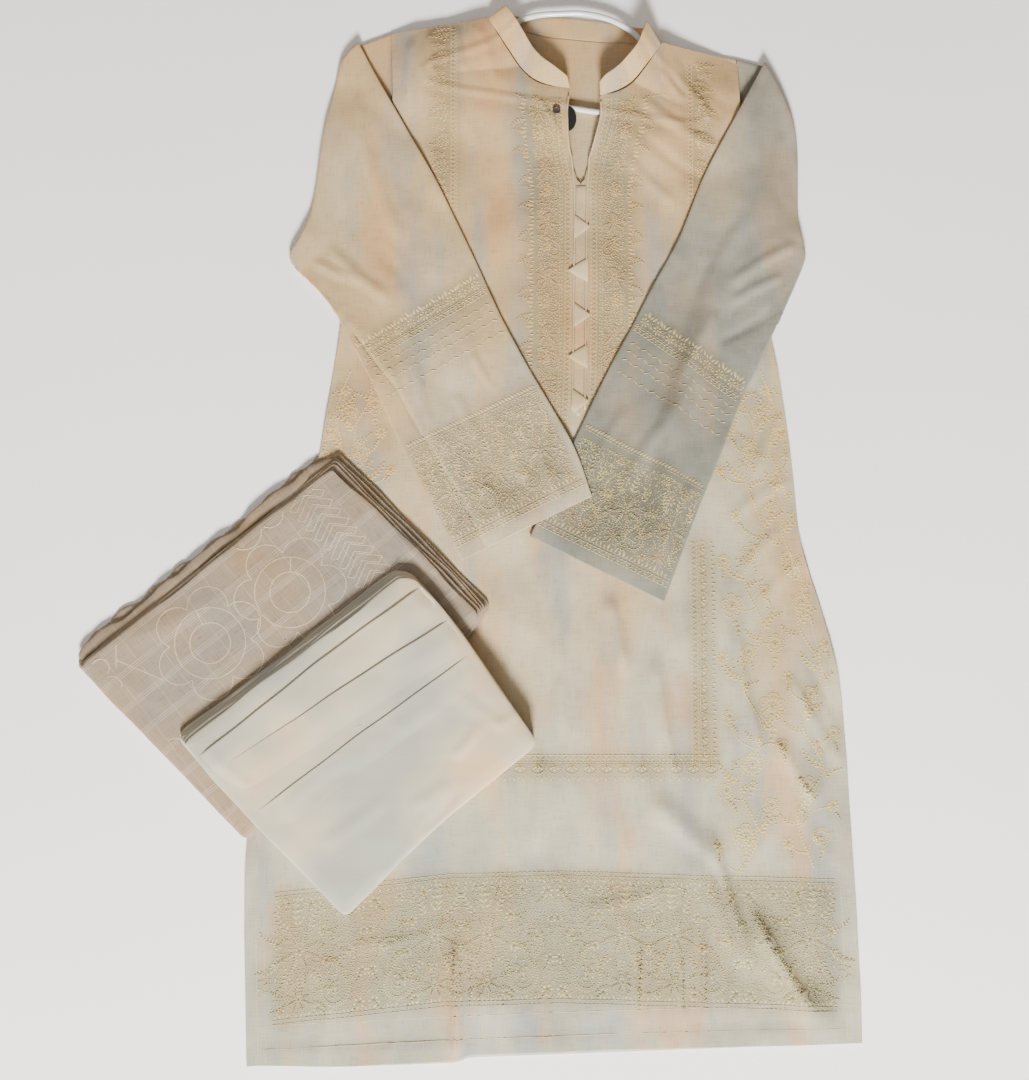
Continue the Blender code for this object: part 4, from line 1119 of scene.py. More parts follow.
def pile_rings(outline, profile, ground, top, step_weight):
    """Rings up a pile's side and over its top: each is the outline drawn in by an inset.

    A ring's step, the sum of the folded layers' setbacks below it, moves each place by that much
    along the place's own setback direction.
    """
    along = np.roll(outline, -1, axis=0) - np.roll(outline, 1, axis=0)
    inward = np.column_stack([-along[:, 1], along[:, 0]])
    inward /= np.linalg.norm(inward, axis=1)[:, None]
    setback = step_weight(outline)
    weight = np.linalg.norm(setback, axis=1)
    middle = outline.mean(axis=0)
    reach = np.linalg.norm(outline - middle, axis=1)[:, None]
    run = np.concatenate([[0], np.cumsum(np.linalg.norm(np.diff(outline, axis=0), axis=1))])
    rings = []
    for inset, share, step, layer in profile:
        wander = np.sin(run * 0.031 + layer * 2.1) + 0.6 * np.sin(run * 0.083 + layer * 4.7)
        fade = 1.0 if share < 0.93 else 0.0
        near = min(inset, 4.0) + wander * (0.25 + 0.5 * weight) * fade * (share > 0)
        plan = outline + step * setback + inward * near[:, None]
        beyond = max(inset - 4.0, 0.0)
        plan = plan + (middle - plan) / reach * np.minimum(beyond, reach * 0.985)
        x, y = plan[:, 0], plan[:, 1]
        low = ground(x, y)
        rings.append(np.column_stack([plan, low + share * (top(x, y) - low)]))
    return np.array(rings), middle


def layered_profile(shares, depth, setback, reach, top_rings):
    """Side of a pile as rounded layers, each set back from the one below, then its top.

    The shares of the height say where each layer ends, so that thick and thin layers can follow.
    """
    side = []
    below = 0.0
    for layer, share in enumerate(shares):
        t = np.linspace(0.04, 0.96, 8)
        bulge = np.sqrt(np.clip(1 - (2 * t - 1)**2, 0, 1))
        side += [(2.2 - depth * b, below + (share - below) * u, setback * layer, layer)
                 for b, u in zip(bulge, t)]
        below = share
    over = np.linspace(0, 1, top_rings)[1:]
    last = side[-1]
    insets = last[0] + (reach - last[0]) * over**1.5
    crown = [(inset, float(crown_share(inset)), last[2] * (1 - smoothstep(t, 0.2, 0.9)), last[3])
             for inset, t in zip(insets, over)]
    return [(2.2, 0.0, 0.0, 0)] + side + crown


def make_pile(name, node_name, corners, profile, ground, top, step_weight, material):
    """Closed rounded pile: rings from the outline to the middle, above and underneath."""
    outline = rounded_outline(corners)
    upper, middle = pile_rings(outline, profile, ground, top, step_weight)
    under_profile = [(inset, 0.0, 0.0, 0) for inset in np.linspace(3.0, profile[-1][0], 26)]
    under, _ = pile_rings(outline, under_profile, ground, top, step_weight)
    rings = np.concatenate([under[::-1], upper])
    peak = np.array([[*middle, 0.0]] * 2)
    x, y = peak[:, 0], peak[:, 1]
    peak[:, 2] = (ground(x, y)[0], top(x, y)[0])
    points = np.vstack([rings.reshape(-1, 3), peak])
    quads = capped(ring_numbers(len(rings), len(outline)), len(points) - 2, len(points) - 1)
    return make_mesh(name, points, quads, material, node_name, points[:, :2])


def dupatta_steps(plan):
    """The dupatta's layers step back on its upper right side, and a little on its upper left."""
    right, left = np.array([0.74, 0.67]), np.array([-0.63, 0.78])
    return (-right * smoothstep(plan @ right, -260.0, -100.0)[:, None]
            - 0.55 * left * smoothstep(plan @ left, 60.0, 170.0)[:, None])


def salwar_steps(plan):
    """The salwar's layers step back on its upper left side."""
    left = np.array([-0.6, 0.8])
    return -left * smoothstep(plan @ left, -60.0, 32.0)[:, None]


def make_raw_edge(name, height, reach, seed):
    """Wavy raw edge of the organza that stands out of the pile along its upper left side."""
    draw = np.random.default_rng(seed)
    start, end = np.array(DUPATTA_CORNERS[0][:2]), np.array(DUPATTA_CORNERS[5][:2])
    forward = (end - start) / np.linalg.norm(end - start)
    outward = np.array([-forward[1], forward[0]])
    along = np.linspace(0.02, 0.97, 170)
    wave = sum(draw.uniform(0.4, 1.0) * np.sin(along * k + draw.uniform(0, 6))
               for k in (9, 17, 31, 58))
    out = reach + 1.8 * wave + 0.25 * draw.normal(size=len(along))
    out = out * smoothstep(along, 0.0, 0.06) * (1 - smoothstep(along, 0.93, 0.99)) + 0.4
    s = np.linspace(0, 1, 9)
    plan = (start + (end - start) * along[:, None])[:, None] - outward * 5.0 \
        + outward * ((out + 5.0)[:, None] * s)[..., None]
    lift = 0.8 * np.sin(along * 26 + seed) * np.sin(along * 11)
    middle = np.dstack([plan, height + (lift[:, None] - 1.6) * s**2])
    half = 0.55 * np.sqrt(1 - s**4 * 0.9)
    rise = np.array([0.0, 0.0, 1.0]) * half[:, None]
    quads = grid_faces(np.arange(middle.shape[0] * middle.shape[1]).reshape(middle.shape[:2]))
    points, faces = wall_body((middle + rise).reshape(-1, 3), (middle - rise).reshape(-1, 3), quads)
    piece = make_mesh(name, points, faces, DUPATTA_CLOTH, None, points[:, :2])
    declare_sheet(piece, 0.33, 0.015)


def make_flap(name, start, end, inward, deep, thick, taper_ends, bow=0.0):
    """Edge of a folded layer on the salwar: rounded lip along a line, sinking back into the pile.

    Across it the upper side rises in a quarter round, runs level and then sinks under the pile's
    top; it runs out to the pile's own sides.
    """
    start, end, inward = (np.asarray(value, float) for value in (start, end, inward))
    length = np.linalg.norm(end - start)
    forward = (end - start) / length
    fine = np.linspace(-0.15, 1.15, 400)
    share = np.linspace(0, 1, int(length / 3.0))
    s = np.concatenate([np.linspace(0, 1, 7)**2 * thick, np.linspace(thick * 1.4, deep, 16)])
    plan = np.empty((len(share), len(s), 2))
    for column, reach in enumerate(s):
        line = start + (end - start) * fine[:, None] + inward * reach
        inside = np.flatnonzero(inside_distance(line[:, 0], line[:, 1], SALWAR_OUTLINE) > 2.4)
        low, high = fine[inside[0]], fine[inside[-1]]
        at = low + (high - low) * share
        wave = 0.5 * np.sin(at * 9.0 + length) + 0.25 * np.sin(at * 23.0) + bow * 4 * at * (1 - at)
        plan[:, column] = start + (end - start) * at[:, None] + inward * (reach + wave)[:, None]
    x, y = plan[..., 0], plan[..., 1]
    level = np.sqrt(np.clip(1 - (1 - np.clip(s / thick, 0, 1))**2, 0, 1))[None]
    first, last = taper_ends
    taper = (smoothstep(share, -0.01, first) * (1 - smoothstep(share, 1 - last, 1.01)))[:, None]
    lip = (0.2 + thick * level) * taper - 0.25 * (1 - taper)
    sink = (lip + 0.5) * smoothstep(s, deep * 0.3, deep)[None]
    base = salwar_surface(x, y)
    outer = np.dstack([x, y, base + lip - sink])
    inner = np.dstack([x, y, base - 0.1 - sink])
    quads = grid_faces(np.arange(x.size).reshape(x.shape))
    if forward[0] * inward[1] - forward[1] * inward[0] > 0:
        quads = quads[:, ::-1]
    points, faces = wall_body(outer.reshape(-1, 3), inner.reshape(-1, 3), quads)
    piece = make_mesh(name, points, faces, SALWAR_CLOTH, None, points[:, :2])
    declare_sheet(piece, round(length * MM, 3), round(deep * MM, 3))


# Embroidery. A motif is a table of stitches: x, y, turn in degrees, length, width, height, mm


def along_line(points, step, width=1.0, height=0.5):
    """Stem stitch: short stitches end to end along a smooth line."""
    points = np.asarray(points, float)
    fine = spline(points, np.linspace(0, len(points) - 1, 10 * len(points)))
    run = np.concatenate([[0], np.cumsum(np.linalg.norm(np.diff(fine, axis=0), axis=1))])
    count = max(int(round(run[-1] / step)), 1)
    places = (np.arange(count) + 0.5) / count * run[-1]
    ahead = np.column_stack([np.interp(places + 0.2, run, fine[:, i]) for i in (0, 1)])
    behind = np.column_stack([np.interp(places - 0.2, run, fine[:, i]) for i in (0, 1)])
    turn = np.degrees(np.arctan2(*(ahead - behind).T[::-1]))
    middle = (ahead + behind) / 2
    same = np.ones(count)
    return np.column_stack([middle, turn, same * run[-1] / count * 1.2, same * width,
                            same * height])


def moved(motif, x, y, turn=0.0, size=1.0, mirror=False):
    """The motif scaled, mirrored, turned and set at a place."""
    motif = motif.copy()
    if mirror:
        motif[:, 1] *= -1
        motif[:, 2] *= -1
    motif[:, [0, 1, 3, 4]] *= size
    a = np.radians(turn)
    across, up = motif[:, 0].copy(), motif[:, 1].copy()
    motif[:, 0] = x + across * np.cos(a) - up * np.sin(a)
    motif[:, 1] = y + across * np.sin(a) + up * np.cos(a)
    motif[:, 2] += turn
    return motif


def ring_of(count, radius, length, width, height, start=0.0):
    """Stitches evenly round a circle, pointing outwards."""
    turn = start + np.arange(count) * 360.0 / count
    a = np.radians(turn)
    same = np.ones(count)
    return np.column_stack([radius * np.cos(a), radius * np.sin(a), turn, same * length,
                            same * width, same * height])


def flower(radius, petals=8):
    """Open flower: a ring of petals, a ring of short stitches and a knot."""
    wide = 2 * np.pi * 0.66 * radius / petals * 0.66
    return np.vstack([ring_of(petals, 0.66 * radius, 0.74 * radius, wide, 0.6),
                      ring_of(petals, 0.27 * radius, 0.22 * radius, 0.16 * radius, 0.8, 20.0),
                      ring_of(3, 0.05 * radius, 0.2 * radius, 0.12 * radius, 1.0)])


def full_flower(radius):
    """Leafy flower: eight petals, each a midrib with slanting stitches, round a small heart."""
    petal = fern(0.8 * radius, 5, 0.05)
    petal[:, 4] *= 1.25
    rows = []
    for number, a in enumerate(np.arange(8) * np.pi / 4 + 0.2):
        rows.append(moved(petal, 0.24 * radius * np.cos(a), 0.24 * radius * np.sin(a),
                          np.degrees(a) + 14, 0.84 + 0.16 * (number % 2)))
    return np.vstack(rows + [flower(0.26 * radius, 5)])


def fern(length, pairs=5, bend=0.12):
    """Curved stem with leaf pairs that grow smaller towards its tip."""
    share = np.linspace(0, 1, 6)
    stem = np.column_stack([share * length, bend * length * np.sin(share * np.pi)])
    rows = [along_line(stem, 3.2, 0.8)]
    at = (np.arange(pairs) + 0.7) / (pairs + 0.4)
    reach = 0.27 * length * (1 - 0.55 * at)
    middle_y = bend * length * np.sin(at * np.pi)
    for side in (-1, 1):
        turn = np.full(pairs, 42.0 * side)
        a = np.radians(turn)
        rows.append(np.column_stack([at * length + np.cos(a) * reach * 0.55,
                                     middle_y + np.sin(a) * reach * 0.55, turn, reach,
                                     reach * 0.36, np.full(pairs, 0.75)]))
    rows.append(np.array([(length * 1.06, 0.0, 0.0, length * 0.14, length * 0.06, 0.8)]))
    return np.vstack(rows)


def curl(radius, leaves=5):
    """Scroll: a stem wound inwards, with leaves on its outer side and a bud at its end."""
    t = np.linspace(0, 1, 14)
    a = t * 2.6 * np.pi
    reach = radius * (1 - 0.72 * t)
    line = np.column_stack([radius - reach * np.cos(a), reach * np.sin(a)])
    at = np.linspace(0.04, 0.5, leaves)
    b = at * 2.6 * np.pi
    far = radius * (1 - 0.72 * at) + radius * 0.28
    leaf_rows = np.column_stack([radius - far * np.cos(b), far * np.sin(b),
                                 180.0 - np.degrees(b) - 35.0, np.full(leaves, radius * 0.6),
                                 np.full(leaves, radius * 0.22), np.full(leaves, 0.7)])
    bud = moved(ring_of(4, radius * 0.12, radius * 0.24, radius * 0.14, 0.8), *line[-1])
    return np.vstack([along_line(line, 3.0, 0.9), leaf_rows, bud])


def paisley(length):
    """Teardrop with a bent tip: two outlines, a fringe and leaves inside."""
    chart = np.array([(0.30, 0.96), (0.14, 0.90), (-0.04, 0.70), (-0.24, 0.44), (-0.26, 0.16),
                      (-0.08, -0.04), (0.16, 0.0), (0.28, 0.20), (0.24, 0.46), (0.14, 0.66),
                      (0.20, 0.84), (0.30, 0.96)])
    middle = np.array([0.02, 0.28])
    outer = chart * length
    inner = (middle + (chart - middle) * 0.62) * length
    fringe_line = along_line((middle + (chart[2:10] - middle) * 1.18) * length, 2.6)
    fringe_line[:, 2] += 70.0
    fringe_line[:, 3:5] = (length * 0.10, length * 0.035)
    inside = moved(fern(length * 0.42, 3, 0.0), length * 0.0, length * 0.06, 82.0)
    outlines = [along_line(outer, 2.8, 1.2, 0.7), along_line(inner, 2.6, 0.8)]
    return np.vstack(outlines + [fringe_line, inside])


def ladder(length, width, pitch=5.0):
    """Two side lines with slanting stitches between them, along x."""
    count = int(length / pitch)
    x = (np.arange(count) + 0.5) * pitch
    same = np.ones(count)
    slant = np.where(np.arange(count) % 2 == 0, 48.0, -48.0)
    rungs = np.column_stack([x, same * width / 2, slant, same * width * 1.05, same * 1.2,
                             same * 0.65])
    sides = [along_line([(0, y), (length, y)], 4.2, 1.2, 0.6) for y in (0.0, width)]
    return np.vstack([rungs] + sides)


def zigzag(length, rise, pitch):
    """Running stitches up and down between two lines, along x."""
    count = int(length / pitch)
    x = (np.arange(count) + 0.5) * pitch
    same = np.ones(count)
    turn = np.where(np.arange(count) % 2 == 0, 1, -1) * np.degrees(np.arctan2(rise, pitch))
    return np.column_stack([x, same * 0, turn, same * np.hypot(rise, pitch) * 1.02, same * 1.15,
                            same * 0.6])


def scallops(length, radius):
    """Row of half rings along x, each with three leaves inside."""
    rows = []
    t = np.linspace(0, np.pi, 7)
    arc = along_line(np.column_stack([radius * np.cos(t), radius * np.sin(t)]), 2.4, 1.0, 0.6)
    fan = ring_of(3, radius * 0.5, radius * 0.6, radius * 0.26, 0.7)
    fan = np.vstack([moved(fan[:1], 0, 0, turn) for turn in (40.0, 90.0, 140.0)])
    unit = np.vstack([arc, fan])
    for number in range(int(length / (2 * radius))):
        rows.append(moved(unit, (2 * number + 1) * radius, 0.0))
    return np.vstack(rows)


def leafy_edge(length, lengths, pitch=4.2, lean=20.0):
    """Leaves standing out from a line along x, in a charted run of lengths."""
    count = int(length / pitch)
    reach = np.resize(np.asarray(lengths, float), count)
    turn = 90.0 + lean * np.sin(np.arange(count) * 1.3)
    a = np.radians(turn)
    return np.column_stack([(np.arange(count) + 0.5) * pitch, np.sin(a) * reach * 0.5, turn, reach,
                            reach * 0.3 + 0.5, np.full(count, 0.7)])


LEAF_OUTLINE = np.array([(-0.5, 0.0), (-0.24, -0.42), (0.2, -0.46), (0.5, 0.0), (0.2, 0.46),
                         (-0.24, 0.42)])
LEAF_CREST = np.array([(-0.2, 0.0), (0.22, 0.0)])
LEAF_FACES = np.array([(0, 1, 6, 6), (1, 2, 7, 6), (2, 3, 7, 7), (3, 4, 7, 7), (4, 5, 6, 7),
                       (5, 0, 6, 6)])


# Depth of a stitch's outline points under the cloth's surface, mm
STITCH_SINK = 0.12


def stitch_mesh(name, table, surface, material, seed):
    """All stitches of one area in one mesh, each a small ridge-backed leaf on the cloth.

    A stitch's outline points stand just under the cloth's surface and its two crest points stand
    over it by the stitch's height.
    """
    draw = np.random.default_rng(seed)
    table = table.copy()
    table[:, 2] += draw.normal(0, 3.0, len(table))
    table[:, 3:5] *= draw.uniform(0.9, 1.1, (len(table), 2))
    local = np.vstack([LEAF_OUTLINE, LEAF_CREST])
    a = np.radians(table[:, 2])[:, None]
    along = local[None, :, 0] * table[:, 3:4]
    aside = local[None, :, 1] * table[:, 4:5]
    x = table[:, 0:1] + along * np.cos(a) - aside * np.sin(a)
    y = table[:, 1:2] + along * np.sin(a) + aside * np.cos(a)
    z = surface(x, y) - STITCH_SINK
    z[:, 6:] += STITCH_SINK + table[:, 5:6]
    points = np.stack([x, y, z], axis=-1).reshape(-1, 3)
    quads = (LEAF_FACES[None] + (np.arange(len(table)) * 8)[:, None, None]).reshape(-1, 4)
    make_mesh(name, points, quads, material)


# Deeper dye lot that shows in soft patches of the thread
OCHRE_THREAD = "#b4925a"


def embroidery_thread(name, upper, lower):
    """Rayon thread laid in satin stitch: close parallel strands with a silky streak of light."""
    material, tree, output, place = start_material(name)
    split = node(tree, "ShaderNodeSeparateXYZ", i0=place)
    # Painted light cast: warmer towards the collar, greener towards the hem
    height = in_range(tree, split.outputs["Y"], -0.5, 0.5)
    spread = calculated(tree, "MULTIPLY_ADD", noise(tree, place, 38.0), 0.9, height)
    colour = ramp(tree, spread, ((0.45, lower), (1.25, upper)))
    aged = in_range(tree, noise(tree, place, 15.0), 0.52, 0.66)
    colour = mixed_colour(tree, aged, colour, OCHRE_THREAD, 0.5)
    bump = node(tree, "ShaderNodeBump", {"Strength": 0.4, "Distance": 0.0002},
                Height=noise(tree, place, 2600.0, 1.0))
    shader = node(tree, "ShaderNodeBsdfPrincipled", {
        "Roughness": 0.42, "Sheen Weight": 0.2, "IOR": 1.5, "Specular IOR Level": 0.5},
        Base_Color=colour, Normal=bump.outputs[0])
    tree.links.new(shader.outputs[0], output.inputs["Surface"])
    return material


# Embroidered areas


def edge_shift(table, left):
    """Move a panel laid along x = 0 so that it follows one edge of the slit and placket."""
    rows = SECTIONS[9:19]
    edge = rows[:, 2] if left else rows[:, 4]
    height = rows[:, 3] if left else rows[:, 5]
    side = -1 if left else 1
    reach = np.interp(table[:, 1], height, edge + side * np.interp(height, (364, 380), (8.5, 4.0)))
    table = table.copy()
    table[:, 0] += reach
    return table


YOKE_LENGTH = 345


def yoke_panel():
    """Panel beside the slit, along x: ladder, then flowers, scrolls, ferns and a leafy edge."""
    rows = [moved(ladder(YOKE_LENGTH, 5.5, 5.2), 0, 2), moved(zigzag(YOKE_LENGTH, 2, 4), 0, 11),
            along_line([(0, 13), (YOKE_LENGTH, 13)], 4, 0.8)]
    for number in range(6):
        u = number * 58
        rows += [moved(full_flower(10.5), u + 14, 26, number * 17),
                 moved(curl(7), u + 29, 17, 30),
                 moved(curl(6.5), u + 30, 33, -25, 1, True),
                 moved(paisley(22), u + 47, 17, 70 - 9 * (number % 2)),
                 moved(fern(15, 4), u + 23, 40, 65), moved(fern(13, 3), u + 38, 41, 110),
                 moved(fern(12, 3), u + 3, 40, 120), moved(fern(14, 4), u + 52, 41, 75),
                 moved(fern(10, 3), u + 2, 16.5, 20), moved(flower(4.5, 6), u + 40, 29),
                 moved(flower(3.8, 5), u + 1, 30), moved(flower(3.4, 5), u + 56.5, 19),
                 moved(fern(9, 3), u + 24, 14.5, 10), moved(fern(9, 3), u + 4.5, 21, 70)]
    rows.append(moved(leafy_edge(YOKE_LENGTH, (4, 7, 9, 6, 3.5, 6)), 0, 39))
    return np.vstack(rows)


def side_strip():
    """Strip down the yoke's side, along x: straight line, ladder, then ferns reaching outwards."""
    rows = [along_line([(0, 0), (197, 0)], 4, 1), moved(ladder(197, 4, 4.6), 0, 2)]
    for number, reach in enumerate((17, 20, 15, 19, 21, 16, 18, 20, 15, 19, 17, 20, 16, 18)):
        turn = 74 + 26 * (number % 2)
        rows += [moved(fern(reach, 4), number * 14 + 5, 7.5, turn),
                 moved(flower(3.6, 6), number * 14 + 11.5, 11.5 + 4 * (number % 2)),
                 moved(curl(3.6, 3), number * 14 + 10, 19, 60, 1, number % 2 == 0)]
    return np.vstack(rows)


def frame_band(length):
    """Inner frame band along x: ladder, line, scallops and drops below them."""
    drops = moved(leafy_edge(length, (3, 5.5), 4.5, 0), 0, 20)
    buds = [moved(flower(2.6, 5), x, 10.5) for x in np.arange(8.5, length, 17)]
    return np.vstack([ladder(length, 6.5, 5.4), along_line([(0, 8.5), (length, 8.5)], 4, 0.8),
                      moved(scallops(length, 8.5), 0, 9.5), drops] + buds)


# Sprays over the side of the skirt, in the right half: vines, then flowers x, y, radius, mm
SIDE_VINES = (
    ((214, -332), (238, -290), (221, -240), (244, -190), (224, -140), (246, -90), (229, -40),
     (248, 10), (232, 60), (243, 108), (226, 150), (236, 190)),
    ((292, -322), (277, -270), (303, -225), (283, -180), (303, -130), (282, -85), (286, -40),
     (268, 5), (270, 50), (256, 92), (262, 130), (248, 172)),
)
SIDE_FLOWERS = (
    (226, -292, 13), (252, -262, 8), (208, -248, 9), (234, -222, 12), (262, -204, 7),
    (212, -176, 7.5), (254, -166, 14), (232, -112, 8), (206, -118, 6.5), (258, -104, 10),
    (216, -66, 12), (248, -52, 7), (208, -22, 7), (236, -12, 9), (222, 24, 6.5),
    (256, 38, 8), (236, 88, 9), (216, 108, 6.5), (300, -292, 9), (268, -298, 6.5),
    (312, -262, 6), (286, -244, 11), (314, -192, 7), (292, -154, 8.5), (270, -136, 6),
    (308, -104, 6.5), (286, -62, 10), (304, -40, 5.5), (272, -18, 7), (284, 24, 8),
    (262, 64, 6), (270, 108, 8), (246, 130, 7), (222, 136, 9.5), (252, 152, 6),
    (206, 70, 5.5), (272, 86, 5), (292, -8, 5), (298, -200, 5), (200, -300, 6.5),
)


def blossom(radius):
    """Round flower with a ruffled edge: five arcs, a ring of slanting petals and a heart."""
    u = np.linspace(-1.5, 1.5, 6)
    rows = [along_line(np.column_stack([
        radius * (0.52 * np.cos(a) + 0.46 * np.cos(a + u)),
        radius * (0.52 * np.sin(a) + 0.46 * np.sin(a + u))]), 2.6, 1.2, 0.55)
        for a in np.arange(5) * 2 * np.pi / 5 + 0.3]
    petals = ring_of(15, 0.62 * radius, 0.42 * radius, 0.15 * radius, 0.5)
    petals[:, 2] += 16.0
    return np.vstack(rows + [petals, flower(0.34 * radius, 6)])


def side_sprays():
    """Vines with ferns at their bends, and flowers that each grow from a bowed stem."""
    rows = []
    for line in SIDE_VINES:
        line = np.array(line, float)
        rows.append(along_line(line, 3.4, 1.5, 0.7))
        for number, (x, y) in enumerate(line[1:-1]):
            side = -1 if number % 2 else 1
            rows += [moved(fern(24, 5), x, y, 90 - side * 48),
                     moved(fern(18, 4), x, y - 10, 90 + side * 62),
                     moved(curl(5.5, 4), x + side * 5, y + 12, 60, 1, side > 0)]
    vine_points = np.vstack([spline(line, np.linspace(0, len(line) - 1, 80))
                             for line in SIDE_VINES])
    for number, (x, y, radius) in enumerate(SIDE_FLOWERS):
        whole = blossom(radius) if radius > 6.8 else flower(radius, 6 + number % 3)
        nearest = vine_points[np.argmin(np.hypot(*(vine_points - (x, y - 14)).T))]
        bend = (np.array([x, y]) + nearest) / 2 + (nearest - (x, y))[::-1] * (0.18, -0.18)
        if np.hypot(*(nearest - (x, y))) > radius + 4:
            rows.append(along_line(np.array([nearest, bend, (x, y)]), 3.2, 1.3, 0.6))
        rows += [moved(whole, x, y, number * 23),
                 moved(fern(radius * 1.5, 3), x, y - radius, -100 + 25 * (number % 3))]
    return np.vstack(rows)


# Hem border: upper and lower edge x, y; left end, length of a unit and height of a unit, mm
HEM_TOP = np.array([(-238.0, -347.8), (-72.6, -326.7), (44.4, -322.0), (317.1, -333.4)])
HEM_BOTTOM = np.array([(-234, -468), (-62.3, -450), (44, -447.3), (309.5, -454.8)])
HEM_LEFT = -234.0
HEM_UNIT = 91.0
HEM_HEIGHT = 119.0


def hem_unit(mirror):
    """One unit of the hem border: large flower, two paisleys, scrolls, ferns and small flowers."""
    rows = [moved(full_flower(19), 25, 64), moved(full_flower(11), 25, 18),
            moved(paisley(42), 62, 14, 12), moved(paisley(34), 70, 66, -10, 1, True),
            moved(curl(10, 6), 4, 98, 20), moved(curl(10, 6), 46, 98, 160, 1, True),
            moved(curl(9, 6), 46, 36, -30), moved(curl(8, 5), 2, 36, 200, 1, True),
            moved(curl(7.5, 5), 82, 56, 100), moved(curl(7, 5), 52, 66, 30)]
    for turn, reach in ((62, 26), (118, 26), (90, 31), (205, 24), (335, 24), (270, 20), (28, 20),
                        (152, 20), (300, 22), (240, 22)):
        a = np.radians(turn)
        rows.append(moved(fern(reach, 5), 25 + 21 * np.cos(a), 64 + 21 * np.sin(a), turn))
    for turn in (200, 340, 160, 20, 110, 70):
        a = np.radians(turn)
        rows.append(moved(fern(15, 4), 25 + 12 * np.cos(a), 18 + 12 * np.sin(a), turn))
    for x, y, radius in ((48, 82, 6), (84, 104, 7), (60, 106, 5.5), (86, 40, 6), (52, 52, 5),
                         (4, 72, 5), (44, 8, 5.5), (84, 10, 6.5), (8, 8, 4.5), (2, 54, 4),
                         (74, 60, 4.5), (36, 108, 4.5), (14, 110, 4.5), (56, 28, 4), (88, 78, 5)):
        rows += [moved(flower(radius, 6), x, y, 3 * x), moved(fern(radius * 2, 3), x, y, 7 * x)]
    unit = np.vstack(rows)
    if mirror:
        unit = moved(unit, HEM_UNIT, 0, 180, 1, True)
    return unit


def hem_border():
    """Border over the hem: mirrored units between two double lines, bent to follow the lines."""
    rows = [moved(hem_unit(number % 2 == 1), HEM_LEFT + number * HEM_UNIT, 0)
            for number in range(6)]
    span = 6 * HEM_UNIT
    for y in (-3, 1, HEM_HEIGHT - 1, HEM_HEIGHT + 3):
        rows.append(moved(along_line([(0, 0), (span, 0)], 4.4, 0.9), HEM_LEFT, y))
    rows.append(moved(leafy_edge(span, (4, 6, 5, 7, 3)), HEM_LEFT, 2))
    rows.append(moved(leafy_edge(span, (5, 4, 6, 3)), HEM_LEFT, HEM_HEIGHT - 2, 0, 1, True))
    table = np.vstack(rows)
    table[:, 1] += np.interp(table[:, 0], HEM_BOTTOM[:, 0], HEM_BOTTOM[:, 1])
    return table


def cuff_pattern(width, first_top, last_top):
    """Cuff embroidery, x across the sleeve and y up from the hem, under a leaning top edge."""
    rows = [moved(ladder(width, 5, 5), 0, 14), along_line([(0, 22), (width, 22)], 4),
            moved(leafy_edge(width, (5, 7, 4, 6)), 0, 22)]
    for number in range(3):
        u = 24 + number * 49
        rows += [moved(full_flower(15), u, 66, 9 * number), moved(full_flower(8), u, 36),
                 moved(paisley(32), u + 21, 34, 6), moved(paisley(28), u - 20, 74, 8),
                 moved(curl(8, 6), u - 24, 48, 30), moved(curl(8, 6), u + 22, 88, 140),
                 moved(curl(7, 5), u + 6, 104, 10),
                 moved(curl(7, 5), u - 8, 104, 170, 1, True),
                 moved(flower(5, 6), u + 26, 74), moved(flower(4.5, 6), u - 14, 30),
                 moved(flower(4, 5), u + 12, 92), moved(flower(5, 6), u - 12, 92),
                 moved(flower(4, 6), u + 24, 108), moved(flower(3.6, 5), u + 12, 50)]
        for turn, reach in ((90, 24), (55, 20), (125, 20), (10, 18), (170, 16), (325, 17),
                            (215, 17)):
            a = np.radians(turn)
            rows.append(moved(fern(reach, 5), u + 16 * np.cos(a), 66 + 16 * np.sin(a), turn))
    table = np.vstack(rows)
    top = first_top + (last_top - first_top) * table[:, 0] / width
    table = table[(table[:, 1] < top - 5) & (table[:, 0] > 2) & (table[:, 0] < width - 2)]
    edge = moved(leafy_edge(width, (5, 5.6), 3.4, 0), 0, -6)
    edge[:, 2] -= 28
    line = np.vstack([edge, along_line([(0, -7), (width, -7)], 4)])
    line[:, 1] += first_top + (last_top - first_top) * line[:, 0] / width
    return np.vstack([table, line])


def narrow_band(width, first, last):
    """Narrow band across the sleeve: ladder, flowers with leaves between, leafy upper edge."""
    rows = [moved(ladder(width, 4.5, 4.8), 0, -11), along_line([(0, -4.5), (width, -4.5)], 4, 0.8)]
    for number in range(int(width / 15)):
        u = 8 + number * 15
        rows += [moved(flower(5.2, 7), u, 2, 11 * number), moved(fern(8, 3), u + 5, -1, 60),
                 moved(fern(8, 3), u + 9.5, -1, 120), moved(flower(1.8, 4), u + 7.5, 1)]
    rows.append(moved(leafy_edge(width, (7, 5, 8.5, 6), 3.7, 34), 0, 7))
    table = np.vstack(rows)
    table[:, 1] += first + (last - first) * table[:, 0] / width
    return table


def stitch_rows(width, heights, slope):
    """Rows of running zigzag stitches across the sleeve."""
    rows = [moved(zigzag(width - 6, 3.6, 6.5), 3, height) for height in heights]
    table = np.vstack(rows)
    table[:, 1] += slope * table[:, 0]
    return table


# Cuff patterns: width, mm, and where each starts, x, y, with its turn in degrees
CUFF_WIDTH = 147
LEFT_PLACE = (76.4, 42.6, -153.65)
RIGHT_PLACE = (16.4, 2.4, -26.02)


def outline_of(rows, fold):
    """Closed plan outline of a sleeve: inner edge, fold, outer edge."""
    return np.vstack([rows[:, 0:2], fold, rows[::-1, 2:4]])


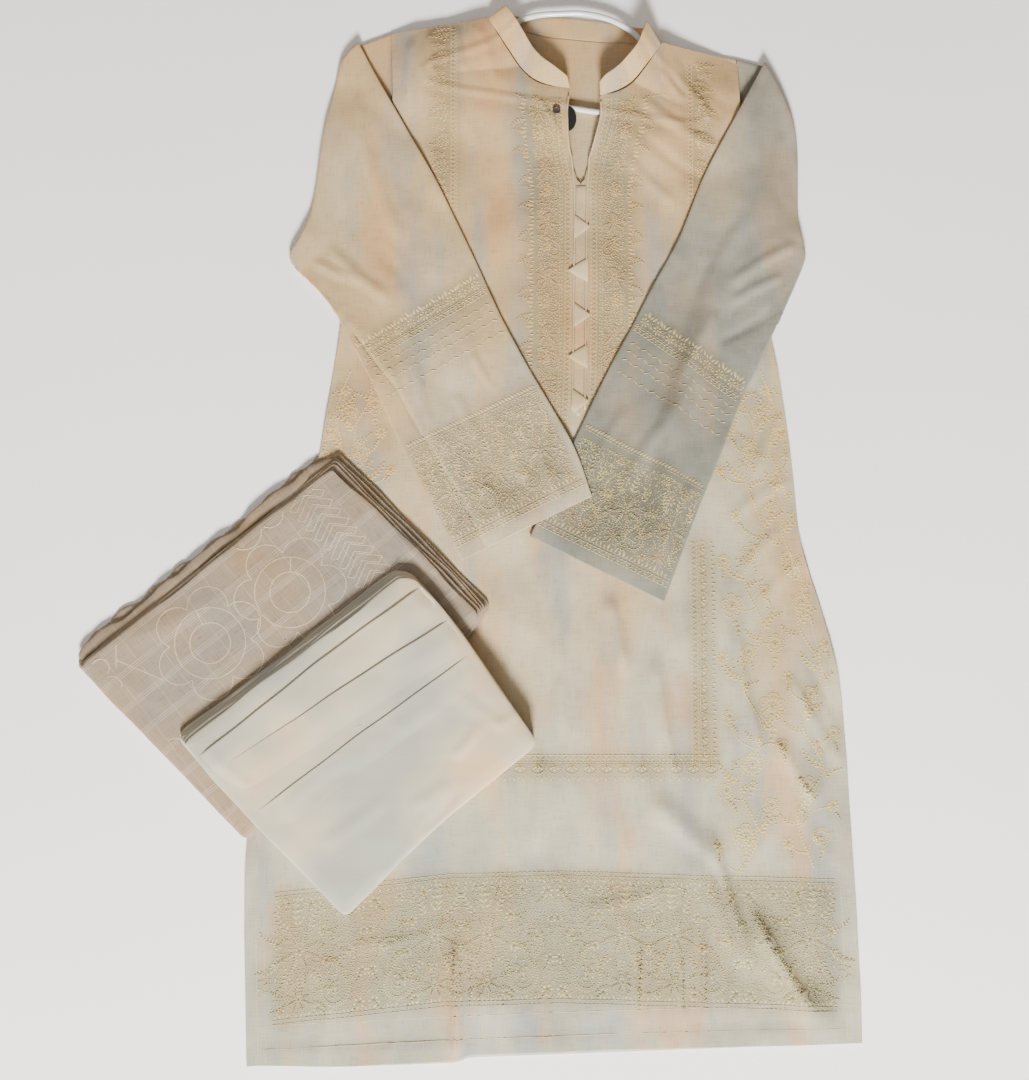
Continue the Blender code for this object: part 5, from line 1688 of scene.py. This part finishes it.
LEFT_OUTLINE = outline_of(LEFT_SLEEVE, LEFT_FOLD)
RIGHT_OUTLINE = outline_of(RIGHT_SLEEVE, RIGHT_FOLD)
KAMEEZ_OUTLINE = np.vstack([SECTIONS[:, 0:2], COLLAR[5:0:-1, :2], SECTIONS[19:13:-1, 2:4],
                            SECTIONS[14:20, 4:6], COLLAR[17:13:-1, :2], SECTIONS[::-1, 6:8]])


def clipped(table, outline, margin=3.0, covers=(), cover_margin=4.0):
    """Stitches that lie inside an outline by a margin and are not under a covering piece."""
    x, y = table[:, 0], table[:, 1]
    kept = inside_distance(x, y, outline) > margin + table[:, 3] * 0.3
    for cover in covers:
        kept &= inside_distance(x, y, cover) < cover_margin
    return table[kept]


def density_of(tables, cell=5.0, full=0.55, passes=2):
    """How closely stitches cover the cloth: their plan area in small cells, smoothed, 0 to 1."""
    table = np.vstack(tables)
    cells = np.zeros((int(1250 / cell), int(1250 / cell)))
    column = ((table[:, 0] + 600.0) / cell).astype(int)
    row = ((table[:, 1] + 600.0) / cell).astype(int)
    np.add.at(cells, (row, column), table[:, 3] * table[:, 4] / cell**2)
    for _ in range(passes):
        for axis in (0, 1):
            cells = (np.roll(cells, 1, axis) + 2 * cells + np.roll(cells, -1, axis)) / 4
    cells = np.clip(cells / full, 0, 1)

    def look_up(x, y):
        """Value at plan places, straight between the cells' middles."""
        across = (np.asarray(x) + 600.0) / cell - 0.5
        up = (np.asarray(y) + 600.0) / cell - 0.5
        c, r = np.floor(across).astype(int), np.floor(up).astype(int)
        s, t = across - c, up - r
        return (cells[r, c] * (1 - s) * (1 - t) + cells[r, c + 1] * s * (1 - t)
                + cells[r + 1, c] * (1 - s) * t + cells[r + 1, c + 1] * s * t)

    return look_up


COMMA = np.array([(-1.6, -0.3, 28.0, 2.6, 1.1, 0.55), (0.9, 0.3, -6.0, 2.6, 1.2, 0.6),
                  (0.2, 2.0, 60.0, 2.2, 1.0, 0.5)])


def seeding(table, x_range, y_range, spacing, seed, inside=None):
    """Small three-stitch commas in the open ground between motifs, on a jittered lattice."""
    draw = np.random.default_rng(seed)
    x, y = np.meshgrid(np.arange(*x_range, spacing), np.arange(*y_range, spacing * 0.87))
    x = x + (np.arange(len(x)) % 2)[:, None] * spacing / 2
    x, y = (x + draw.uniform(-1, 1, x.shape)).ravel(), (y + draw.uniform(-1, 1, y.shape)).ravel()
    open_ground = density_of([table], 3.0, 1.0, 1)(x, y) < 0.42
    if inside is not None:
        open_ground &= inside(x, y)
    x, y = x[open_ground], y[open_ground]
    turn = 160.0 * np.sin(x * 0.06) * np.cos(y * 0.05) + draw.uniform(-40, 40, len(x))
    a = np.radians(turn)[:, None]
    px, py = COMMA[None, :, 0], COMMA[None, :, 1]
    sizes = (np.broadcast_to(COMMA[None, :, i], (len(x), 3)) for i in (3, 4, 5))
    rows = np.stack([x[:, None] + px * np.cos(a) - py * np.sin(a),
                     y[:, None] + px * np.sin(a) + py * np.cos(a),
                     COMMA[None, :, 2] + turn[:, None], *sizes], axis=-1)
    return np.vstack([table, rows.reshape(-1, 6)])


def near_slit(x, y):
    """Inside either yoke panel."""
    side = np.abs(x - 68) - np.interp(y, (364, 380, 455), (6.5, 6.5, 16))
    return (side > 14) & (side < 38)


def in_border(x, y):
    """Between the lower and upper edge of the hem's border."""
    return (y < np.interp(x, *HEM_TOP.T) - 3) & (y > np.interp(x, *HEM_BOTTOM.T) + 3)


def hem_lines():
    """Machine stitching: hem turn-up, a fainter second line and the facings of the side slits."""
    hem = SECTIONS[0]
    edge = np.array([(hem[0], hem[1]), (hem[2], hem[3]), (hem[6], hem[7])])
    rows = [along_line(edge + (0, rise), 3.2, 0.9, 0.3) for rise in (15.0, 37.0)]
    for inset, first, last in ((11.0, 0, 4), (18.5, 0, 4)):
        rows.append(along_line(SECTIONS[first:last + 1, 0:2] + (inset, 0), 3.2, 0.9, 0.3))
    rows.append(along_line(SECTIONS[0:8, 6:8] - (14.0, 0), 3.2, 0.9, 0.3))
    return np.vstack(rows)


# Fuller stitches of the side sprays, lengthwise and across
SPRAY_FULLNESS = (1.12, 1.45)
# Share of the painted shade under the open sprays, against close embroidery
SPRAY_SHADE = 0.4


def embroidery_tables():
    """Stitch tables of each area: those on the front, and those on either sleeve."""
    covers = (LEFT_OUTLINE, RIGHT_OUTLINE, SALWAR_OUTLINE, DUPATTA_OUTLINE)
    panel = yoke_panel()
    yoke = np.vstack([edge_shift(moved(panel, 0, 455, -90), False),
                      edge_shift(moved(panel, 0, 455, -90, 1, True), True)])
    strip = side_strip()
    strips = np.vstack([moved(strip, -59, 535, -90, 1, True), moved(strip, 176, 505, -90)])
    frame_bands = np.vstack([moved(frame_band(222), 175, -1, -90),
                             moved(frame_band(290), -88, -213, 0, 1, True)])
    sprays = side_sprays()
    sprays[:, 3:5] *= SPRAY_FULLNESS
    front = {
        "yoke_embroidery": seeding(yoke, (8, 132), (112, 452), 4.6, 3, near_slit),
        "strip_embroidery": strips, "frame_embroidery": frame_bands,
        "spray_embroidery_right": sprays,
        "spray_embroidery_left": moved(sprays, 82, 0, 180, 1, True),
        "hem_embroidery": seeding(hem_border(), (-232, 310), (-464, -322), 4.6, 4, in_border),
        "hem_stitching": hem_lines()}
    front = {name: clipped(table, KAMEEZ_OUTLINE, 2, covers) for name, table in front.items()}
    cuffs = (("left", LEFT_PLACE, True, LEFT_OUTLINE, (129, 131), (244, 232), ()),
             ("right", RIGHT_PLACE, False, RIGHT_OUTLINE, (129, 124), (246, 222),
              (LEFT_OUTLINE,)))
    sleeves = {}
    for side, (x, y, turn), mirror, outline, top, band, over in cuffs:
        cuff = seeding(cuff_pattern(CUFF_WIDTH, *top), (3, 145), (24, min(top) - 8), 4.6, 6)
        rows = stitch_rows(CUFF_WIDTH, (222, 213, 204, 190), (band[1] - band[0]) / 200)
        table = np.vstack([cuff, narrow_band(CUFF_WIDTH, *band), rows])
        sleeves[side] = clipped(moved(table, x, y, turn, 1, mirror), outline, 0.5, over)
    return front, sleeves


FRONT_STITCHES, SLEEVE_STITCHES = embroidery_tables()

# Thread shades: name, colour towards the collar and towards the hem. The gold is the thread's own;
# its run from warm at the yoke to greenish at the hem, within a thread and between areas, is a
# painted cast of warm and cool light, and the greenish shade on the right sleeve is painted shade
THREADS = (("warm", "#c8a873", "#c2ab78"), ("pale", "#cab485", "#c4b98c"),
           ("straw", "#bea66e", "#b5a871"), ("greenish", "#ae9f70", "#a49d70"))
THREAD_OF = {"yoke_embroidery": "warm", "strip_embroidery": "warm", "frame_embroidery": "straw",
             "spray_embroidery_right": "straw", "spray_embroidery_left": "warm",
             "hem_embroidery": "greenish", "hem_stitching": "pale"}


def embroider():
    """Make the embroidery, one mesh for each area."""
    threads = {shade: embroidery_thread(f"rayon embroidery thread, {shade} gold", upper, lower)
               for shade, upper, lower in THREADS}
    for number, (name, table) in enumerate(FRONT_STITCHES.items()):
        stitch_mesh(name, table, front_top, threads[THREAD_OF[name]], number)
    # The right sleeve's thread is the darkest, greenish shade: painted shade, as on its cloth
    for side, extra, shade in (("left", left_lift, "pale"), ("right", no_lift, "greenish")):
        stitch_mesh(f"sleeve_embroidery_{side}", SLEEVE_STITCHES[side],
                    lambda a, b, extra=extra: sleeve_height(a, b, extra) + GAP / 2 + WALL,
                    threads[shade], 31)
    cord = embroidery_thread("couched cream cord", "#cdbf9f", "#c3b491")
    stitch_mesh("dupatta_embroidery", dupatta_stitches(), dupatta_top, cord, 41)


def line_set(tree, value, pitch, offsets, half_width):
    """1 on thin lines at the offsets in every pitch of a coordinate, else 0, in metres."""
    wrapped = calculated(tree, "FLOORED_MODULO", value, pitch)
    total = None
    for offset in offsets:
        line = calculated(tree, "COMPARE", wrapped, offset, half_width)
        total = line if total is None else calculated(tree, "MAXIMUM", total, line)
    return total


def checked_organza():
    """Sheer slub organza woven in a check: triple fine lines one way, single broad lines across."""
    material, tree, output, place = start_material("organza, slub woven check")
    turned = node(tree, "ShaderNodeMapping", {"Rotation": (0.0, 0.0, np.radians(-39.0))},
                  Vector=place).outputs[0]
    split = node(tree, "ShaderNodeSeparateXYZ", i0=turned)
    colour = ramp(tree, noise(tree, place, 11.0, 3.0),
                  ((0.3, "#8d8479"), (0.5, "#978771"), (0.7, "#9c8361")))
    triple = line_set(tree, split.outputs["Y"], 0.0285, (0.004, 0.0062, 0.0084), 0.00035)
    broad = line_set(tree, split.outputs["X"], 0.025, (0.012,), 0.0009)
    colour = mixed_colour(tree, triple, colour, "#c2b6a3", 0.6)
    colour = mixed_colour(tree, broad, colour, "#b9ad9d", 0.22)
    bump, slubs = woven_bump(tree, turned, 1.0, 0.45, 0.8)
    tint = ramp(tree, slubs, ((0.65, "#dcd5cc"), (1.2, "#ffffff")))
    cloth = mixed_colour(tree, None, colour, tint, 1.0, "MULTIPLY")
    shader = node(tree, "ShaderNodeBsdfPrincipled", {
        "Roughness": 0.5, "Sheen Weight": 0.22, "Sheen Roughness": 0.4, "IOR": 1.5},
        Base_Color=cloth, Normal=bump.outputs[0])
    tree.links.new(shader.outputs[0], output.inputs["Surface"])
    return material


DUPATTA_CLOTH = checked_organza()

# Line embroidery of the dupatta, x, y, mm. Its own axes: along the upper left edge, and across
CHEVRON_START = (-213.0, 51.0)
CHEVRON_STEP = (8.3, -9.36)
CHEVRON_COUNT = 10
ROUND_FLOWERS = ((-221.6, -53.1, 0.0), (-299.5, -103.3, 24.0))


def outlined(points, width=1.3):
    """Cord couched along a line, as close stitches."""
    return along_line(points, 2.6, width, 0.35)


def chevron():
    """Slanting arrow outline, point up and left: two narrow arms, closed at their ends."""
    corners = np.array([(0, 0), (24, 0), (24, -6.5), (7, -6.5), (7, -24), (0, -24), (0, 0)], float)
    slanted = corners + np.column_stack([0.42 * corners[:, 1], -0.1 * corners[:, 0]])
    return np.vstack([outlined(slanted[i:i + 2], 1.1) for i in range(6)])


def round_flower():
    """Scalloped flower drawn in line: two rings, six lobes that meet, and one short radial line."""
    t = np.linspace(0, 2 * np.pi, 25)
    rows = [outlined(radius * np.column_stack([np.cos(t), np.sin(t)])) for radius in (20, 35)]
    u = np.linspace(-1.64, 1.64, 11)
    for lobe in range(6):
        a = np.pi * lobe / 3 + 0.2
        rows.append(outlined(np.column_stack([36.0 * np.cos(a) + 20.0 * np.cos(a + u),
                                              36.0 * np.sin(a) + 20.0 * np.sin(a + u)])))
    rows.append(outlined([(0, 20.0), (0, 35.0)]))
    return np.vstack(rows)


# Part motifs near the dupatta's folds: middle x, y; radius; first and last angle in degrees
PART_LOBES = (
    (-268, 6, 17, -150, 30), (-243, 24, 13, -140, 20), (-407, -128, 9, -30, 150),
    (-395, -146, 10, 0, 190), (-376, -190, 15, 40, 190), (-330, -214, 18, 30, 170),
)
PART_LINES = (
    ((-391.9, -105.3), (-391.3, -127.8)), ((-391.3, -120), (-344.8, -139.6)),
    ((-418.6, -131.7), (-414.2, -149.3)), ((-352, -193), (-372, -204)),
)


def dupatta_stitches():
    """Chevron column beside the border, scalloped flowers, part lobes and slanting lines."""
    rows = [moved(chevron(), *(np.array(CHEVRON_START) + np.array(CHEVRON_STEP) * i))
            for i in range(CHEVRON_COUNT)]
    rows += [moved(round_flower(), x, y, turn) for x, y, turn in ROUND_FLOWERS]
    for x, y, radius, first, last in PART_LOBES:
        t = np.radians(np.linspace(first, last, 9))
        rows.append(outlined(np.column_stack([x + radius * np.cos(t), y + radius * np.sin(t)])))
    rows += [outlined(np.array(line)) for line in PART_LINES]
    table = np.vstack(rows)
    return clipped(table, DUPATTA_OUTLINE, 12.0, (SALWAR_OUTLINE,), 3.0)


def main_pieces():
    """Make every large piece of the suit."""
    make_back()
    dense = density_of([table for name, table in FRONT_STITCHES.items()
                        if not name.startswith(("spray", "hem_stitching"))])
    sprays = density_of([FRONT_STITCHES[f"spray_embroidery_{side}"] for side in ("right", "left")])
    # Painted shade under the embroidery: full where the stitches lie close, less under the open
    # sprays, and on both sleeves
    make_front(lambda x, y: np.maximum(dense(x, y), SPRAY_SHADE * sprays(x, y)))
    make_sleeve("sleeve_left_cloth", "sleeve_left", LEFT_SLEEVE, LEFT_FOLD, -1, left_lift,
                density_of([SLEEVE_STITCHES["left"]]), COTTON)
    make_sleeve("sleeve_right_cloth", "sleeve_right", RIGHT_SLEEVE, RIGHT_FOLD, 1, no_lift,
                density_of([SLEEVE_STITCHES["right"]]), SHADED_SLEEVE_COTTON)
    make_collar()
    make_placket()
    make_piping("piping_cloth_left", "piping_left", True)
    make_piping("piping_cloth_right", "piping_right", False)
    for number, tab in enumerate(TABS, 1):
        make_tab(number, *tab)
    make_button()
    make_label()
    make_hanger()
    dupatta = make_pile("dupatta_folded", "dupatta", DUPATTA_CORNERS,
                        layered_profile((0.3, 0.5, 0.66, 0.8, 0.92), 1.2, 3.6, 190, 44),
                        kameez_ground, dupatta_top, dupatta_steps, DUPATTA_CLOTH)
    declare_sheet(dupatta, 0.40, 0.36)
    salwar = make_pile("salwar_folded", "salwar", SALWAR_CORNERS,
                       layered_profile((0.2, 0.42, 0.62, 0.8, 0.92), 1.2, 2.6, 180, 44),
                       salwar_ground, salwar_top, salwar_steps, SALWAR_CLOTH)
    declare_sheet(salwar, 0.36, 0.34)
    down = np.array([0.63, -0.78])
    make_raw_edge("dupatta_raw_edge_low", 3.5, 8.5, 1)
    make_raw_edge("dupatta_raw_edge_high", 7.2, 5, 2)
    make_flap("salwar_layer", (-284, -196), (-100.5, -54), down, 46, 1.4, (0.05, 0.05), -2)
    make_flap("salwar_tuck_wide", (-283, -222), (-62.5, -78.5), down, 44, 1.2, (0.10, 0.05))
    make_flap("salwar_tuck_narrow", (-256.5, -271), (-39, -110), down, 40, 0.9, (0.15, 0.10))


def add_camera():
    """Camera nearly straight above, tipped six degrees towards the hem."""
    data = bpy.data.cameras.new("view")
    data.sensor_width = 36.0
    data.lens = 50.0
    camera = bpy.data.objects.new("view", data)
    tilt = np.radians(6.0)
    place = np.array([0.0, -np.sin(tilt), np.cos(tilt)]) * 1500.0 + PLAN_SHIFT
    camera.location = place * MM
    camera.rotation_euler = (tilt, 0.0, 0.0)
    bpy.context.scene.collection.objects.link(camera)
    bpy.context.scene.camera = camera


def add_light(name, place, target, size, power, colour):
    """Square area light at a place in metres, aimed at a target."""
    data = bpy.data.lights.new(name, "AREA")
    data.size = size
    data.energy = power
    data.color = linear(colour)[:3]
    light = bpy.data.objects.new(name, data)
    light.location = place
    aim = np.subtract(target, place)
    tilt = np.arctan2(np.hypot(aim[0], aim[1]), -aim[2])
    turn = np.arctan2(-aim[0], aim[1])
    light.rotation_euler = (tilt, 0.0, turn)
    bpy.context.scene.collection.objects.link(light)
    return light


def add_surroundings():
    """Pale floor, even ambient light and two soft lamps, the key from the hem's side."""
    half = 4.0
    points = [(-half, -half, 0.0), (half, -half, 0.0), (half, half, 0.0), (-half, half, 0.0)]
    mesh = bpy.data.meshes.new("floor")
    mesh.from_pydata(points, [], [(0, 1, 2, 3)])
    material, tree, output, place = start_material("pale matt floor")
    colour = ramp(tree, noise(tree, place, 3.0), ((0.4, "#fbfbfb"), (0.6, "#fdfdfd")))
    shader = node(tree, "ShaderNodeBsdfPrincipled", {"Roughness": 0.9}, Base_Color=colour)
    tree.links.new(shader.outputs[0], output.inputs["Surface"])
    mesh.materials.append(material)
    floor = bpy.data.objects.new("floor", mesh)
    bpy.context.scene.collection.objects.link(floor)
    world = bpy.data.worlds.new("studio")
    world.use_nodes = True
    background = world.node_tree.nodes["Background"]
    background.inputs["Color"].default_value = linear("#f0dfc9")
    background.inputs["Strength"].default_value = 0.42
    bpy.context.scene.world = world
    key = add_light("key", (0.2, -3.5, 2.0), (0.05, 0.1, 0.0), 0.9, 640.0, "#fffaf3")
    fill = add_light("fill", (-1.4, 0.4, 2.4), (0.05, 0.0, 0.0), 1.6, 14.0, "#e8efff")


main_pieces()
embroider()
add_camera()
add_surroundings()
